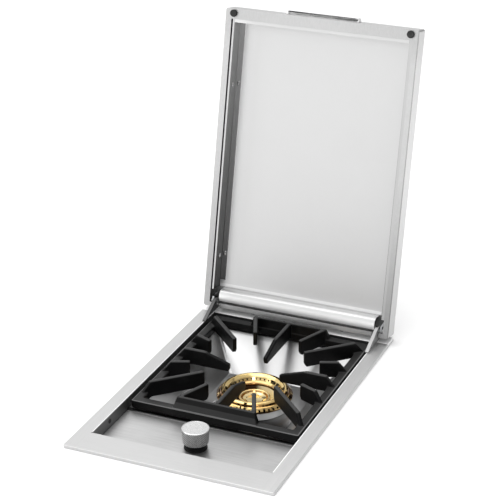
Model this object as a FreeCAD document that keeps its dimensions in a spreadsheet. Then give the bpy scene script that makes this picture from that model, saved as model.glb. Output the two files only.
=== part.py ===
"""Built in gas side burner, drawn as a parametric document.

A folded steel flange lies on the worktop and carries a sheet box below it. Inside the flange
lie a recessed control panel with one knob, a polished pan, a ported brass burner in two rings
and a cast trivet. A lid with a polished liner turns on two gussets at the back and is drawn open.

The pieces are drawn from the middle of the flange's front edge at the height of its top face,
X to the right, Y to the back and Z up. The lid's pieces are drawn closed, from the hinge axis.
Every piece then moves by the same offset, so that the origin is under the middle of the whole.
"""

import FreeCAD, Part
import math
import os

import Sketcher
from FreeCAD import Placement, Rotation, Vector

# Driving sizes in millimetres and degrees.
SIZES = [
    ("frame_width", 320, "flange, side to side"),
    ("frame_length", 496, "flange, front to back"),
    ("flange_sheet", 1.5, "gauge of the flange and the control panel"),
    ("box_sheet", 1.2, "gauge of the box and the pan"),
    ("fit_gap", 0.3, "clearance between nested pieces"),
    ("lip_depth", 5, "turned down outer edge of the flange"),
    ("side_strip", 22, "width of the flange at its sides"),
    ("front_strip", 46, "width of the flange at the front"),
    ("rear_strip", 29, "width of the flange at the back"),
    ("recess_wall", 26, "turned down inner edge of the flange"),
    ("flange_corner", 3, "corner radius of the flange"),
    ("panel_drop", 20, "control panel below the flange's top"),
    ("panel_length", 107.7, "control panel, front to back"),
    ("support_drop", 28, "turned down edges of the panel and the pan, below the flange's top"),
    ("rail_width", 8, "support rails along the box's sides"),
    ("rail_leg", 10.5, "legs of the support rails"),
    ("knob_setback", 51, "knob's axis behind the opening's front edge"),
    ("box_depth", 130, "box floor below the flange's top"),
    ("box_collar", 10, "out-turned top edge of the box at the sides"),
    ("end_collar", 20, "out-turned top edge of the box at its ends"),
    ("slot_length", 46, "vent slots in the box"),
    ("slot_width", 6, "vent slots in the box"),
    ("slot_step", 17, "spacing of the vent slots"),
    ("fixing_radius", 2.75, "side fixing holes of the box"),
    ("fixing_drop", 46, "side fixing holes below the flange's top"),
    ("fixing_spacing", 330, "side fixing holes, front to back"),
    ("pan_drop", 18, "pan's ledge below the flange's top"),
    ("pan_depth", 40, "pan's floor below its ledge"),
    ("pan_floor", 148, "pan's square floor"),
    ("pan_side_ledge", 14, "pan's ledge at the sides"),
    ("pan_end_ledge", 16.5, "pan's ledge at the front and back"),
    ("base_radius", 56, "burner base above the pan's floor"),
    ("base_height", 12, "burner base above the pan's floor"),
    ("spigot_radius", 48, "burner base below the pan's floor"),
    ("spigot_depth", 12, "burner base below the pan's floor"),
    ("ring_radius", 58.5, "outer brass ring"),
    ("ring_inner", 33, "bore of the outer brass ring"),
    ("ring_height", 15, "outer brass ring"),
    ("ring_wall", 3, "wall of the outer brass ring"),
    ("ring_port", 1.3, "radius of the outer ring's main ports"),
    ("ring_ports", 48, "main ports of the outer ring"),
    ("pilot_port", 0.9, "radius of the outer ring's inner ports"),
    ("pilot_ports", 36, "inner ports of the outer ring"),
    ("cap_radius", 22.5, "inner brass cap"),
    ("cap_height", 8, "inner brass cap"),
    ("cap_seat", 8, "inner brass cap's seat below the outer ring's"),
    ("cap_lip", 5, "rim of the inner cap beyond its spigot"),
    ("cap_gap", 1, "burner base round the inner cap"),
    ("cap_socket", 3, "burner base above the inner cap's seat"),
    ("cap_port", 1.2, "radius of the inner cap's ports"),
    ("cap_ports", 8, "ports of the inner cap"),
    ("trivet_side_gap", 6, "trivet to the opening's sides"),
    ("trivet_end_gap", 3.5, "trivet to the opening's ends"),
    ("bar_width", 13, "trivet's frame bars"),
    ("bar_height", 13, "trivet's frame bars"),
    ("bar_drop", 3, "trivet's frame below the flange's top"),
    ("finger_rise", 14, "trivet's finger tops above the flange's top"),
    ("finger_depth", 23, "height of the trivet's fingers"),
    ("finger_thick", 6.5, "thickness of the trivet's fingers"),
    ("finger_slope", 14, "length of the fingers' sloping outer ends"),
    ("finger_inset", 2, "fingers' outer ends inside the trivet's outline"),
    ("finger_foot", 6, "fingers' feet inside the frame bars"),
    ("corner_tip", 82, "tips of the corner fingers from the centre"),
    ("quarter_tip", 98, "tips of the short fingers from the centre"),
    ("middle_tip", 41, "tips of the middle fingers from the centre"),
    ("middle_knee", 84, "where the middle fingers start to slope"),
    ("middle_fall", 13.5, "drop of the middle fingers to their tips"),
    ("rail_half", 61.5, "half length of the raised rails at the top"),
    ("rail_rise", 13, "raised rails above the flange's top"),
    ("rail_lean", 8, "lean of the raised rails' outer faces"),
    ("rail_flare", 5.5, "raised rails' feet beyond their ends"),
    ("knob_radius", 20, "knob at its top"),
    ("knob_taper", 1.5, "knob's foot is this much smaller in radius"),
    ("knob_height", 21, "knob's metal body"),
    ("knob_rise", 12, "knob's top above the flange's top"),
    ("knob_hollow", 8, "hollow under the knob"),
    ("groove_depth", 0.4, "grooves round the knob"),
    ("boss_wall", 3, "knob's boss round the stem"),
    ("boss_level", 4, "knob's boss above its foot"),
    ("stem_cover", 6, "knob's metal above the stem"),
    ("bezel_radius", 16, "black bezel under the knob"),
    ("bezel_height", 15, "black bezel under the knob"),
    ("stem_radius", 4, "valve stem"),
    ("push_travel", 3, "how far the knob pushes in"),
    ("bonnet_radius", 12, "valve bonnet under the panel"),
    ("bonnet_length", 34, "valve bonnet under the panel"),
    ("bonnet_wall", 4, "wall of the valve bonnet"),
    ("collar_height", 6, "push collar in the bonnet"),
    ("collar_drop", 8, "push collar below the panel"),
    ("valve_block", 30, "valve body, square in plan"),
    ("valve_tail", 12, "valve body below the gas passages"),
    ("train_drop", 88, "gas passages below the flange's top"),
    ("main_offset", 38, "main passage to the left of the middle"),
    ("main_forward", 12.5, "main riser in front of the burner's middle"),
    ("mouth_setback", 62, "mouths of the mixing tubes behind the knob's axis"),
    ("inlet_inset", 46, "supply pipe from the box's right side"),
    ("pipe_bend", 25, "bend radius of the supply pipe"),
    ("feed_bend", 12, "bend radius of the feed pipe"),
    ("pipe_wall", 1, "wall of the supply pipe and the feed pipe"),
    ("feed_reach", 28, "end of the feed pipe behind the knob's axis"),
    ("jet_flats", 10.4, "hexagon of the injectors, across flats"),
    ("jet_hexagon", 7, "length of the injectors' hexagon"),
    ("jet_nose", 3.5, "radius of the injectors' noses"),
    ("jet_bore", 1, "radius of the injectors' bores"),
    ("jet_gap", 9, "injectors' ends in front of the tubes' mouths"),
    ("shutter_length", 22, "air shutters"),
    ("shutter_reach", 14, "air shutters in front of the tubes' mouths"),
    ("shutter_sheet", 1.2, "wall of the air shutters"),
    ("window_length", 8, "air windows of the shutters"),
    ("window_width", 6, "air windows of the shutters"),
    ("bell_wall", 3, "mixing tubes' bells over the tubes"),
    ("bell_length", 8, "mixing tubes' bells"),
    ("fitting_flats", 22, "hexagon of the gas inlet, across flats"),
    ("fitting_hexagon", 7, "length of the gas inlet's hexagon"),
    ("locknut_length", 5, "nut inside the box"),
    ("shank_length", 8, "gas inlet inside the box"),
    ("inlet_bore", 3, "radius of the gas inlet's bore"),
    ("main_tube", 8.5, "outer radius of the main mixing tube"),
    ("simmer_tube", 7, "outer radius of the simmer mixing tube"),
    ("tube_wall", 1.2, "wall of the mixing tubes"),
    ("elbow", 14, "bend radius of the mixing tubes"),
    ("pipe_radius", 5, "supply pipe"),
    ("feed_radius", 4, "feed pipe of the main injector"),
    ("thread_radius", 7.94, "gas inlet's thread"),
    ("thread_length", 16, "gas inlet's thread"),
    ("lid_sheet", 1.2, "gauge of the lid shell"),
    ("liner_sheet", 0.8, "gauge of the lid liner"),
    ("lid_depth", 29, "lid, rim to outer face"),
    ("lid_side_margin", 1.5, "closed lid inside the flange's sides"),
    ("lid_front_margin", 3.5, "closed lid inside the flange's front"),
    ("lid_rear_margin", 6, "closed lid inside the flange's back"),
    ("lid_corner", 4, "corner radius of the lid"),
    ("lid_gap", 4, "closed lid's rim above the flange"),
    ("rim_side", 10, "in-turned rim at the lid's sides"),
    ("rim_front", 20, "in-turned rim at the lid's front"),
    ("rim_rear", 7, "in-turned rim at the lid's back"),
    ("liner_gap", 2, "rim to the liner's folded edge"),
    ("liner_fold", 3, "liner's folded edge"),
    ("liner_skin", 3, "liner's panel to the lid's outer face"),
    ("nose_radius", 10.5, "rounded nose at the liner's back"),
    ("nose_start", 8, "nose from the lid's back edge"),
    ("nose_inset", 1, "nose behind the lid's rim"),
    ("nose_gap", 6, "nose's ends inside the gussets"),
    ("pivot_setback", 8.2, "hinge axis from the lid's back edge"),
    ("pivot_height", 9.5, "hinge axis from the lid's rim"),
    ("lid_open", 101.8, "angle of the open lid"),
    ("pin_radius", 4, "hinge pins"),
    ("pin_head", 6, "radius of the hinge pins' heads and clips"),
    ("pin_head_thick", 2, "heads of the hinge pins"),
    ("clip_thick", 1, "clips of the hinge pins"),
    ("pin_tail", 3, "hinge pins beyond the ears"),
    ("pin_play", 0.05, "running fit of the pins and the stem"),
    ("gusset_sheet", 2, "gauge of the hinge gussets"),
    ("gusset_reach", 54, "gusset's foot in front of the hinge axis"),
    ("gusset_fold", 5.5, "gusset's folded front edge"),
    ("gusset_top", 9, "gusset above the hinge axis"),
    ("gusset_foot", 2, "upright end of the gusset's foot"),
    ("ear_sheet", 3, "gauge of the hinge ears on the lid"),
    ("ear_low", 6, "hinge ear below the hinge axis"),
    ("ear_foot", 8, "hinge ear's lower end in front of the hinge axis"),
    ("ear_reach", 14, "hinge ear's upper end in front of the hinge axis"),
    ("handle_length", 120, "edge pull on the lid"),
    ("handle_reach", 7, "edge pull on the lid"),
    ("handle_thick", 10, "edge pull on the lid"),
    ("handle_level", 5, "edge pull from the lid's rim"),
    ("handle_round", 4, "corner radius of the edge pull"),
    ("handle_sheet", 1.5, "gauge of the edge pull"),
    ("bumper_radius", 5.8, "rubber bumpers"),
    ("bumper_inset", 11, "rubber bumpers from the lid's front edge"),
    ("bumper_margin", 13.5, "rubber bumpers from the lid's sides"),
    ("screw_radius", 2, "shank of the small screws"),
    ("screw_head", 3.6, "head of the small screws"),
    ("screw_rise", 1.2, "head height of the small screws"),
    ("rear_screw_side", 76.5, "rear screws from the middle"),
    ("rear_screw_inset", 11, "rear screws from the flange's back edge"),
    ("rear_screw_rise", 0.6, "head height of the rear screws, which the lid passes over"),
    ("wall_screw_setback", 54, "recess screws behind the opening's front edge"),
    ("liner_screw_low", 82.5, "liner's rear screws from the lid's back edge"),
    ("liner_screw_high", 362, "liner's front screws from the lid's back edge"),
    ("liner_screw_level", 14, "liner's screws above the lid's rim"),
    ("bracket_width", 16, "brackets behind the liner's screws"),
    ("bracket_foot", 10, "feet of the liner's brackets"),
    ("bracket_sheet", 1.5, "gauge of the liner's brackets"),
    ("insulator_radius", 3.2, "spark insulator"),
    ("insulator_length", 26, "spark insulator"),
    ("insulator_collar", 5, "radius of the spark insulator's collar"),
    ("insulator_drop", 16, "spark insulator below the pan's floor"),
    ("wire_radius", 0.8, "spark wire"),
    ("lead_radius", 1.5, "spark lead"),
    ("pad_length", 18, "trivet's corner pads"),
    ("middle_pad_length", 74, "trivet's pads at the middle of its ends"),
    ("pad_width", 9, "trivet's pads"),
    ("bridge_foot", 15, "feet of the burner's bridge"),
    ("origin_back", 0, "origin behind the flange's front edge"),
]

# Places that follow from the driving sizes.
LAYOUT = [
    ("opening_half", "Size.frame_width / 2 - Size.side_strip"),
    ("opening_front", "Size.front_strip"),
    ("opening_back", "Size.frame_length - Size.rear_strip"),
    ("panel_back", "Layout.opening_front + Size.fit_gap + Size.panel_length"),
    ("pan_front", "Layout.panel_back + Size.fit_gap"),
    ("burner_back", "(Layout.pan_front + Layout.opening_back) / 2"),
    ("trivet_half_width", "Layout.opening_half - Size.trivet_side_gap"),
    ("trivet_half_length", "(Layout.opening_back - Layout.pan_front) / 2 - Size.trivet_end_gap"),
    ("well_half_width", "Layout.opening_half - Size.pan_side_ledge"),
    ("well_half_length", "(Layout.opening_back - Layout.pan_front) / 2 - Size.pan_end_ledge"),
    ("pan_floor_level", "-Size.pan_drop - Size.pan_depth"),
    ("ring_level", "Layout.pan_floor_level + Size.base_height"),
    ("spigot_level", "Layout.pan_floor_level - Size.spigot_depth"),
    ("knob_back", "Layout.opening_front + Size.knob_setback"),
    ("mouth_back", "Layout.knob_back + Size.mouth_setback"),
    ("wall_screw_back", "Layout.opening_front + Size.wall_screw_setback"),
    ("rear_screw_back", "Size.frame_length - Size.rear_screw_inset"),
    ("box_half", "Layout.opening_half + Size.flange_sheet + Size.fit_gap + Size.box_sheet"),
    ("box_front", "Layout.opening_front - Size.flange_sheet - Size.fit_gap - Size.box_sheet"),
    ("box_back", "Layout.opening_back + Size.flange_sheet + Size.fit_gap + Size.box_sheet"),
    ("main_entry", "Layout.burner_back - Size.main_forward"),
    ("inlet_side", "Layout.box_half - Size.inlet_inset"),
    ("spark_reach", "Size.base_radius * 0.85"),
    ("lid_length", "Size.frame_length - Size.lid_front_margin - Size.lid_rear_margin"),
    ("lid_half", "Size.frame_width / 2 - Size.lid_side_margin"),
    ("hinge_back", "Size.frame_length - Size.lid_rear_margin - Size.pivot_setback"),
    ("hinge_level", "Size.lid_gap + Size.pivot_height"),
    ("liner_half", "Layout.lid_half - Size.rim_side - Size.liner_gap - Size.liner_fold"),
    ("bumper_side", "Layout.lid_half - Size.bumper_margin"),
    ("gusset_inner", "Layout.opening_half + 1"),
    ("nose_half", "Layout.gusset_inner - Size.nose_gap"),
    ("ear_inner", "Layout.gusset_inner + Size.gusset_sheet + 1.5"),
]


def make_sheet(doc):
    """Spreadsheet of the driving sizes, one alias to a row."""
    sheet = doc.addObject("Spreadsheet::Sheet", "Size")
    for row, (alias, size, meaning) in enumerate(SIZES, start=1):
        sheet.set(f"A{row}", alias)
        sheet.set(f"B{row}", str(size))
        sheet.setAlias(f"B{row}", alias)
        sheet.set(f"C{row}", meaning)
    doc.recompute()


def make_layout(doc):
    """Variable set of the places that follow from the sizes."""
    layout = doc.addObject("App::VarSet", "Layout")
    for name, formula in LAYOUT:
        layout.addProperty("App::PropertyFloat", name, "Places")
        layout.setExpression(name, formula)
    doc.recompute()


class Values:
    """Numbers of the sheet and the layout, for pieces drawn with Part's own functions."""

    def __init__(self, doc):
        self.doc = doc

    def __getattr__(self, name):
        if any(name == place for place, _ in LAYOUT):
            return float(getattr(self.doc.Layout, name))
        return float(self.doc.Size.get(name))


def origin_plane(body, role):
    """One of the body's own origin planes."""
    for feature in body.Origin.OriginFeatures:
        if feature.Role == role:
            return feature
    raise ValueError(role)


def new_body(doc, name):
    """Empty body whose label names its file."""
    body = doc.addObject("PartDesign::Body", name)
    body.Label = name
    return body


def new_sketch(body, name, role, offset="0", turn=None):
    """Sketch on one of the body's origin planes, moved along its normal or turned about its upright."""
    sketch = body.newObject("Sketcher::SketchObject", name)
    sketch.AttachmentSupport = [(origin_plane(body, role), "")]
    sketch.MapMode = "FlatFace"
    if turn is not None:
        sketch.AttachmentOffset = Placement(Vector(), Rotation(Vector(0, 1, 0), turn))
    sketch.setExpression("AttachmentOffset.Base.z", offset)
    return sketch


def pin_point(sketch, element, point, along, up):
    """Ties a point of the sketch to its origin by two expressions."""
    for kind, formula in (("DistanceX", along), ("DistanceY", up)):
        index = sketch.addConstraint(Sketcher.Constraint(kind, -1, 1, element, point, 1.0))
        sketch.setExpression(f"Constraints[{index}]", formula)


def polygon(sketch, corners):
    """Closed outline through corners, each a pair of expressions."""
    first = len(sketch.Geometry)
    count = len(corners)
    spots = [Vector(math.cos(math.tau * i / count), math.sin(math.tau * i / count), 0) for i in range(count)]
    for i in range(count):
        sketch.addGeometry(Part.LineSegment(spots[i], spots[(i + 1) % count]))
    for i in range(count):
        sketch.addConstraint(Sketcher.Constraint("Coincident", first + i, 2, first + (i + 1) % count, 1))
    for i, (along, up) in enumerate(corners):
        pin_point(sketch, first + i, 1, along, up)


def rectangle(sketch, low_x, high_x, low_y, high_y):
    """Closed rectangle between four expressions."""
    polygon(sketch, [(low_x, low_y), (high_x, low_y), (high_x, high_y), (low_x, high_y)])


def circle(sketch, along, up, radius):
    """Circle whose centre and radius are expressions."""
    index = sketch.addGeometry(Part.Circle(Vector(), Vector(0, 0, 1), 1.0))
    pin_point(sketch, index, 3, along, up)
    rule = sketch.addConstraint(Sketcher.Constraint("Radius", index, 1.0))
    sketch.setExpression(f"Constraints[{rule}]", radius)


def extrude(body, kind, name, sketch, length, flip=False, both=False):
    """Pad or Pocket of a sketch by a length given as an expression."""
    feature = body.newObject(f"PartDesign::{kind}", name)
    feature.Profile = sketch
    feature.setExpression("Length", length)
    feature.Reversed = flip
    if both:
        feature.SideType = "Symmetric"
    sketch.Visibility = False
    return feature


def revolve(body, kind, name, sketch):
    """Revolution or Groove of a sketch about its upright axis."""
    feature = body.newObject(f"PartDesign::{kind}", name)
    feature.Profile = sketch
    feature.ReferenceAxis = (sketch, ["V_Axis"])
    feature.Angle = 360
    return feature


def around(body, name, feature, count):
    """Polar pattern of a feature about the body's Z axis."""
    pattern = body.newObject("PartDesign::PolarPattern", name)
    pattern.Originals = [feature]
    pattern.Axis = (origin_plane(body, "Z_Axis"), [""])
    pattern.Angle = 360
    pattern.setExpression("Occurrences", count)
    body.Tip = pattern
    return pattern


def in_rows(body, name, feature, role, length, count):
    """Linear pattern of a feature along one of the body's axes."""
    pattern = body.newObject("PartDesign::LinearPattern", name)
    pattern.Originals = [feature]
    pattern.Direction = (origin_plane(body, role), [""])
    pattern.setExpression("Length", length)
    pattern.Occurrences = count
    body.Tip = pattern
    return pattern


def mirrored(body, name, feature, role):
    """Mirror image of a feature across one of the body's planes."""
    mirror = body.newObject("PartDesign::Mirrored", name)
    mirror.Originals = [feature]
    mirror.MirrorPlane = (origin_plane(body, role), [""])
    body.Tip = mirror
    return mirror


def round_edges(doc, body, name, radius, wanted):
    """Fillet of the edges of the body's last shape that the test wants."""
    doc.recompute()
    base = body.Tip
    edges = [f"Edge{i}" for i, edge in enumerate(base.Shape.Edges, start=1) if wanted(edge)]
    fillet = body.newObject("PartDesign::Fillet", name)
    fillet.Base = (base, edges)
    fillet.setExpression("Radius", radius)
    return fillet


def is_upright(edge):
    """True for a straight edge along Z."""
    ends = [vertex.Point for vertex in edge.Vertexes]
    return len(ends) == 2 and math.hypot(ends[0].x - ends[1].x, ends[0].y - ends[1].y) < 0.001


def seat(piece, along="0", back="0", up="0"):
    """Puts a piece at its place on the flange, with the offset to the part's origin."""
    piece.setExpression("Placement.Base.x", along)
    piece.setExpression("Placement.Base.y", f"{back} - Size.origin_back")
    piece.setExpression("Placement.Base.z", f"{up} + Size.box_depth")


def seat_on_lid(piece):
    """Puts a piece that is drawn on the closed lid at the hinge axis, and opens it."""
    piece.Placement = Placement(Vector(), Rotation(Vector(1, 0, 0), -90))
    piece.setExpression("Placement.Rotation.Angle", "-Size.lid_open")
    seat(piece, "0", "Layout.hinge_back", "Layout.hinge_level")


def shape_piece(doc, name, shape):
    """Piece whose shape is made with Part's own functions."""
    piece = doc.addObject("Part::Feature", name)
    piece.Label = name
    piece.Shape = shape
    return piece


def cylinder(radius, length, start, direction):
    """Round bar from a start point along a direction."""
    return Part.makeCylinder(radius, length, start, direction)


def tube_along(points, bends, radius):
    """Solid round bar along straight runs joined by tangent arcs, from a list of corner points."""
    edges = []
    start = points[0]
    for before, corner, after, bend in zip(points, points[1:], points[2:], bends):
        back = (before - corner).normalize()
        ahead = (after - corner).normalize()
        reach = bend / math.tan(back.getAngle(ahead) / 2)
        first, last = corner + back * reach, corner + ahead * reach
        middle_way = (back + ahead).normalize()
        centre = corner + middle_way * math.hypot(reach, bend)
        edges.append(Part.LineSegment(start, first).toShape())
        edges.append(Part.Arc(first, centre - middle_way * bend, last).toShape())
        start = last
    edges.append(Part.LineSegment(start, points[-1]).toShape())
    path = Part.Wire(edges)
    section = Part.Wire([Part.Circle(points[0], points[1] - points[0], radius).toShape()])
    return path.makePipeShell([section], True, False)


def make_top_frame(doc):
    """Folded flange: a plate with its outer edge and its recess walls turned down."""
    body = new_body(doc, "top_frame")
    outline = new_sketch(body, "frame_outline", "XY_Plane")
    rectangle(outline, "-Size.frame_width / 2", "Size.frame_width / 2", "0", "Size.frame_length")
    extrude(body, "Pad", "frame_block", outline, "Size.lip_depth", flip=True)
    round_edges(doc, body, "frame_corners", "Size.flange_corner", is_upright)
    round_edges(doc, body, "frame_bend", "Size.flange_sheet * 0.8", lambda edge: edge.BoundBox.ZMin > -0.001)
    hollow = new_sketch(body, "frame_underside", "XY_Plane", "-Size.lip_depth")
    rectangle(hollow, "-Size.frame_width / 2 + Size.flange_sheet", "Size.frame_width / 2 - Size.flange_sheet",
              "Size.flange_sheet", "Size.frame_length - Size.flange_sheet")
    extrude(body, "Pocket", "frame_hollow", hollow, "Size.lip_depth - Size.flange_sheet", flip=True)
    walls = new_sketch(body, "recess_outline", "XY_Plane", "-Size.flange_sheet / 2")
    rectangle(walls, "-Layout.opening_half - Size.flange_sheet", "Layout.opening_half + Size.flange_sheet",
              "Layout.opening_front - Size.flange_sheet", "Layout.opening_back + Size.flange_sheet")
    extrude(body, "Pad", "recess_walls", walls, "Size.recess_wall - Size.flange_sheet / 2", flip=True)
    opening = new_sketch(body, "opening_outline", "XY_Plane")
    rectangle(opening, "-Layout.opening_half", "Layout.opening_half",
              "Layout.opening_front", "Layout.opening_back")
    extrude(body, "Pocket", "opening", opening, "Size.recess_wall")
    relief = new_sketch(body, "relief_holes", "XY_Plane")
    for side in ("-", ""):
        for end in ("Layout.opening_front", "Layout.opening_back"):
            circle(relief, f"{side}Layout.opening_half", end, "Size.flange_sheet * 0.7")
    extrude(body, "Pocket", "corner_reliefs", relief, "Size.flange_sheet")
    rear = new_sketch(body, "rear_screw_holes", "XY_Plane")
    for side in ("-", ""):
        circle(rear, f"{side}Size.rear_screw_side", "Layout.rear_screw_back", "Size.screw_radius + Size.fit_gap")
    extrude(body, "Pocket", "rear_holes", rear, "Size.flange_sheet")
    side = new_sketch(body, "side_screw_holes", "YZ_Plane")
    circle(side, "Layout.wall_screw_back", "-Size.panel_drop / 2", "Size.screw_radius + Size.fit_gap")
    extrude(body, "Pocket", "side_holes", side, "Size.frame_width * 0.9", both=True)
    seat(body)
    return body


def make_burner_box(doc):
    """Open sheet box under the flange, with an out-turned collar, vent slots and an inlet hole."""
    body = new_body(doc, "burner_box")
    outer = new_sketch(body, "box_outline", "XY_Plane", "-Size.flange_sheet")
    rectangle(outer, "-Layout.box_half", "Layout.box_half", "Layout.box_front", "Layout.box_back")
    extrude(body, "Pad", "box_block", outer, "Size.box_depth - Size.flange_sheet", flip=True)
    round_edges(doc, body, "box_corners", "Size.flange_corner", is_upright)
    collar = new_sketch(body, "collar_outline", "XY_Plane", "-Size.flange_sheet")
    rectangle(collar, "-Layout.box_half - Size.box_collar", "Layout.box_half + Size.box_collar",
              "Layout.box_front - Size.end_collar", "Layout.box_back + Size.end_collar")
    extrude(body, "Pad", "box_collar", collar, "Size.box_sheet", flip=True)
    inner = new_sketch(body, "box_inside", "XY_Plane", "-Size.flange_sheet")
    rectangle(inner, "-Layout.box_half + Size.box_sheet", "Layout.box_half - Size.box_sheet",
              "Layout.box_front + Size.box_sheet", "Layout.box_back - Size.box_sheet")
    extrude(body, "Pocket", "box_inside_cut", inner, "Size.box_depth - Size.flange_sheet - Size.box_sheet")
    slot = new_sketch(body, "side_slot", "YZ_Plane")
    rectangle(slot, "Layout.burner_back - Size.slot_length / 2", "Layout.burner_back + Size.slot_length / 2",
              "-Size.train_drop - Size.slot_step", "-Size.train_drop - Size.slot_step + Size.slot_width")
    side_slot = extrude(body, "Pocket", "side_slots", slot, "Size.frame_width", both=True)
    in_rows(body, "side_slot_rows", side_slot, "Z_Axis", "Size.slot_step * 2", 3)
    floor = new_sketch(body, "floor_slot", "XY_Plane", "-Size.box_depth")
    rectangle(floor, "-Size.slot_length / 2", "Size.slot_length / 2", "Layout.knob_back + Size.slot_step",
              "Layout.knob_back + Size.slot_step + Size.slot_width")
    floor_slot = extrude(body, "Pocket", "floor_slots", floor, "Size.box_sheet", flip=True)
    in_rows(body, "floor_slot_rows", floor_slot, "Y_Axis", "Size.slot_step * 5", 6)
    holes = new_sketch(body, "fixing_holes", "YZ_Plane")
    for end in ("-", "+"):
        circle(holes, f"(Layout.box_front + Layout.box_back) / 2 {end} Size.fixing_spacing / 2",
               "-Size.fixing_drop", "Size.fixing_radius")
    extrude(body, "Pocket", "fixing_cuts", holes, "Size.frame_width", both=True)
    side = new_sketch(body, "recess_screw_holes", "YZ_Plane")
    circle(side, "Layout.wall_screw_back", "-Size.panel_drop / 2", "Size.screw_radius + Size.fit_gap")
    extrude(body, "Pocket", "recess_screw_cuts", side, "Size.frame_width * 0.9", both=True)
    rear = new_sketch(body, "collar_screw_holes", "XY_Plane", "-Size.flange_sheet")
    for hand in ("-", ""):
        circle(rear, f"{hand}Size.rear_screw_side", "Layout.rear_screw_back", "Size.screw_radius + Size.fit_gap")
    extrude(body, "Pocket", "collar_screw_cuts", rear, "Size.box_sheet")
    inlet = new_sketch(body, "inlet_hole", "XZ_Plane", "-Layout.box_back")
    circle(inlet, "Layout.inlet_side", "-Size.train_drop", "Size.thread_radius + Size.fit_gap")
    extrude(body, "Pocket", "inlet_cut", inlet, "Size.box_sheet * 3", both=True)
    seat(body)
    return body


def make_control_panel(doc):
    """Recessed panel with its front and back edges turned down and a hole for the valve stem."""
    body = new_body(doc, "control_panel")
    outline = new_sketch(body, "panel_outline", "XY_Plane", "-Size.panel_drop")
    rectangle(outline, "-Layout.opening_half + Size.fit_gap", "Layout.opening_half - Size.fit_gap",
              "Layout.opening_front + Size.fit_gap", "Layout.panel_back")
    extrude(body, "Pad", "panel_block", outline, "Size.support_drop - Size.panel_drop", flip=True)
    under = new_sketch(body, "panel_underside", "XY_Plane", "-Size.support_drop")
    rectangle(under, "-Size.frame_width / 2", "Size.frame_width / 2",
              "Layout.opening_front + Size.fit_gap + Size.flange_sheet", "Layout.panel_back - Size.flange_sheet")
    extrude(body, "Pocket", "panel_hollow", under,
            "Size.support_drop - Size.panel_drop - Size.flange_sheet", flip=True)
    hole = new_sketch(body, "stem_hole", "XY_Plane", "-Size.panel_drop")
    circle(hole, "0", "Layout.knob_back", "Size.stem_radius + 2")
    extrude(body, "Pocket", "stem_cut", hole, "Size.flange_sheet")
    seat(body)
    return body


def rectangle_about(sketch, half_x, half_y, middle_y="0"):
    """Rectangle about a middle on the sketch's upright axis."""
    rectangle(sketch, f"-({half_x})", half_x, f"{middle_y} - ({half_y})", f"{middle_y} + ({half_y})")


def loft(body, kind, name, low, high):
    """Ruled loft between two sketches."""
    feature = body.newObject(f"PartDesign::{kind}Loft", name)
    feature.Profile = low
    feature.Sections = [high]
    feature.Ruled = True
    return feature


def make_burner_pan(doc):
    """Polished pan: a ledge for the trivet, four slopes and a floor with the burner's hole."""
    body = new_body(doc, "burner_pan")
    ledge = new_sketch(body, "pan_outline", "XY_Plane", "-Size.pan_drop")
    rectangle(ledge, "-Layout.opening_half + Size.fit_gap", "Layout.opening_half - Size.fit_gap",
              "Layout.pan_front", "Layout.opening_back - Size.fit_gap")
    extrude(body, "Pad", "pan_block", ledge, "Size.support_drop - Size.pan_drop", flip=True)
    under = new_sketch(body, "pan_underside", "XY_Plane", "-Size.support_drop")
    rectangle(under, "-Layout.opening_half + Size.fit_gap + Size.box_sheet",
              "Layout.opening_half - Size.fit_gap - Size.box_sheet",
              "Layout.pan_front + Size.box_sheet", "Layout.opening_back - Size.fit_gap - Size.box_sheet")
    extrude(body, "Pocket", "pan_hollow", under, "Size.support_drop - Size.pan_drop - Size.box_sheet", flip=True)
    wall = "Size.box_sheet * 1.4"
    for kind, name, grow, drop in (("Additive", "slopes", wall, "Size.box_sheet"),
                                   ("Subtractive", "well", "0", "0")):
        high = new_sketch(body, f"{name}_top", "XY_Plane", "-Size.pan_drop")
        rectangle_about(high, f"Layout.well_half_width + {grow}", f"Layout.well_half_length + {grow}",
                        "Layout.burner_back")
        low = new_sketch(body, f"{name}_bottom", "XY_Plane", f"Layout.pan_floor_level - {drop}")
        rectangle_about(low, f"Size.pan_floor / 2 + {grow}", f"Size.pan_floor / 2 + {grow}", "Layout.burner_back")
        loft(body, kind, name, low, high)
    hole = new_sketch(body, "burner_hole", "XY_Plane", "Layout.pan_floor_level")
    circle(hole, "0", "Layout.burner_back", "Size.spigot_radius + Size.fit_gap")
    circle(hole, "-Layout.spark_reach", "Layout.burner_back - Layout.spark_reach", "Size.insulator_radius + 1.1")
    extrude(body, "Pocket", "burner_cut", hole, "Size.box_sheet * 2")
    seat(body)
    return body


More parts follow.
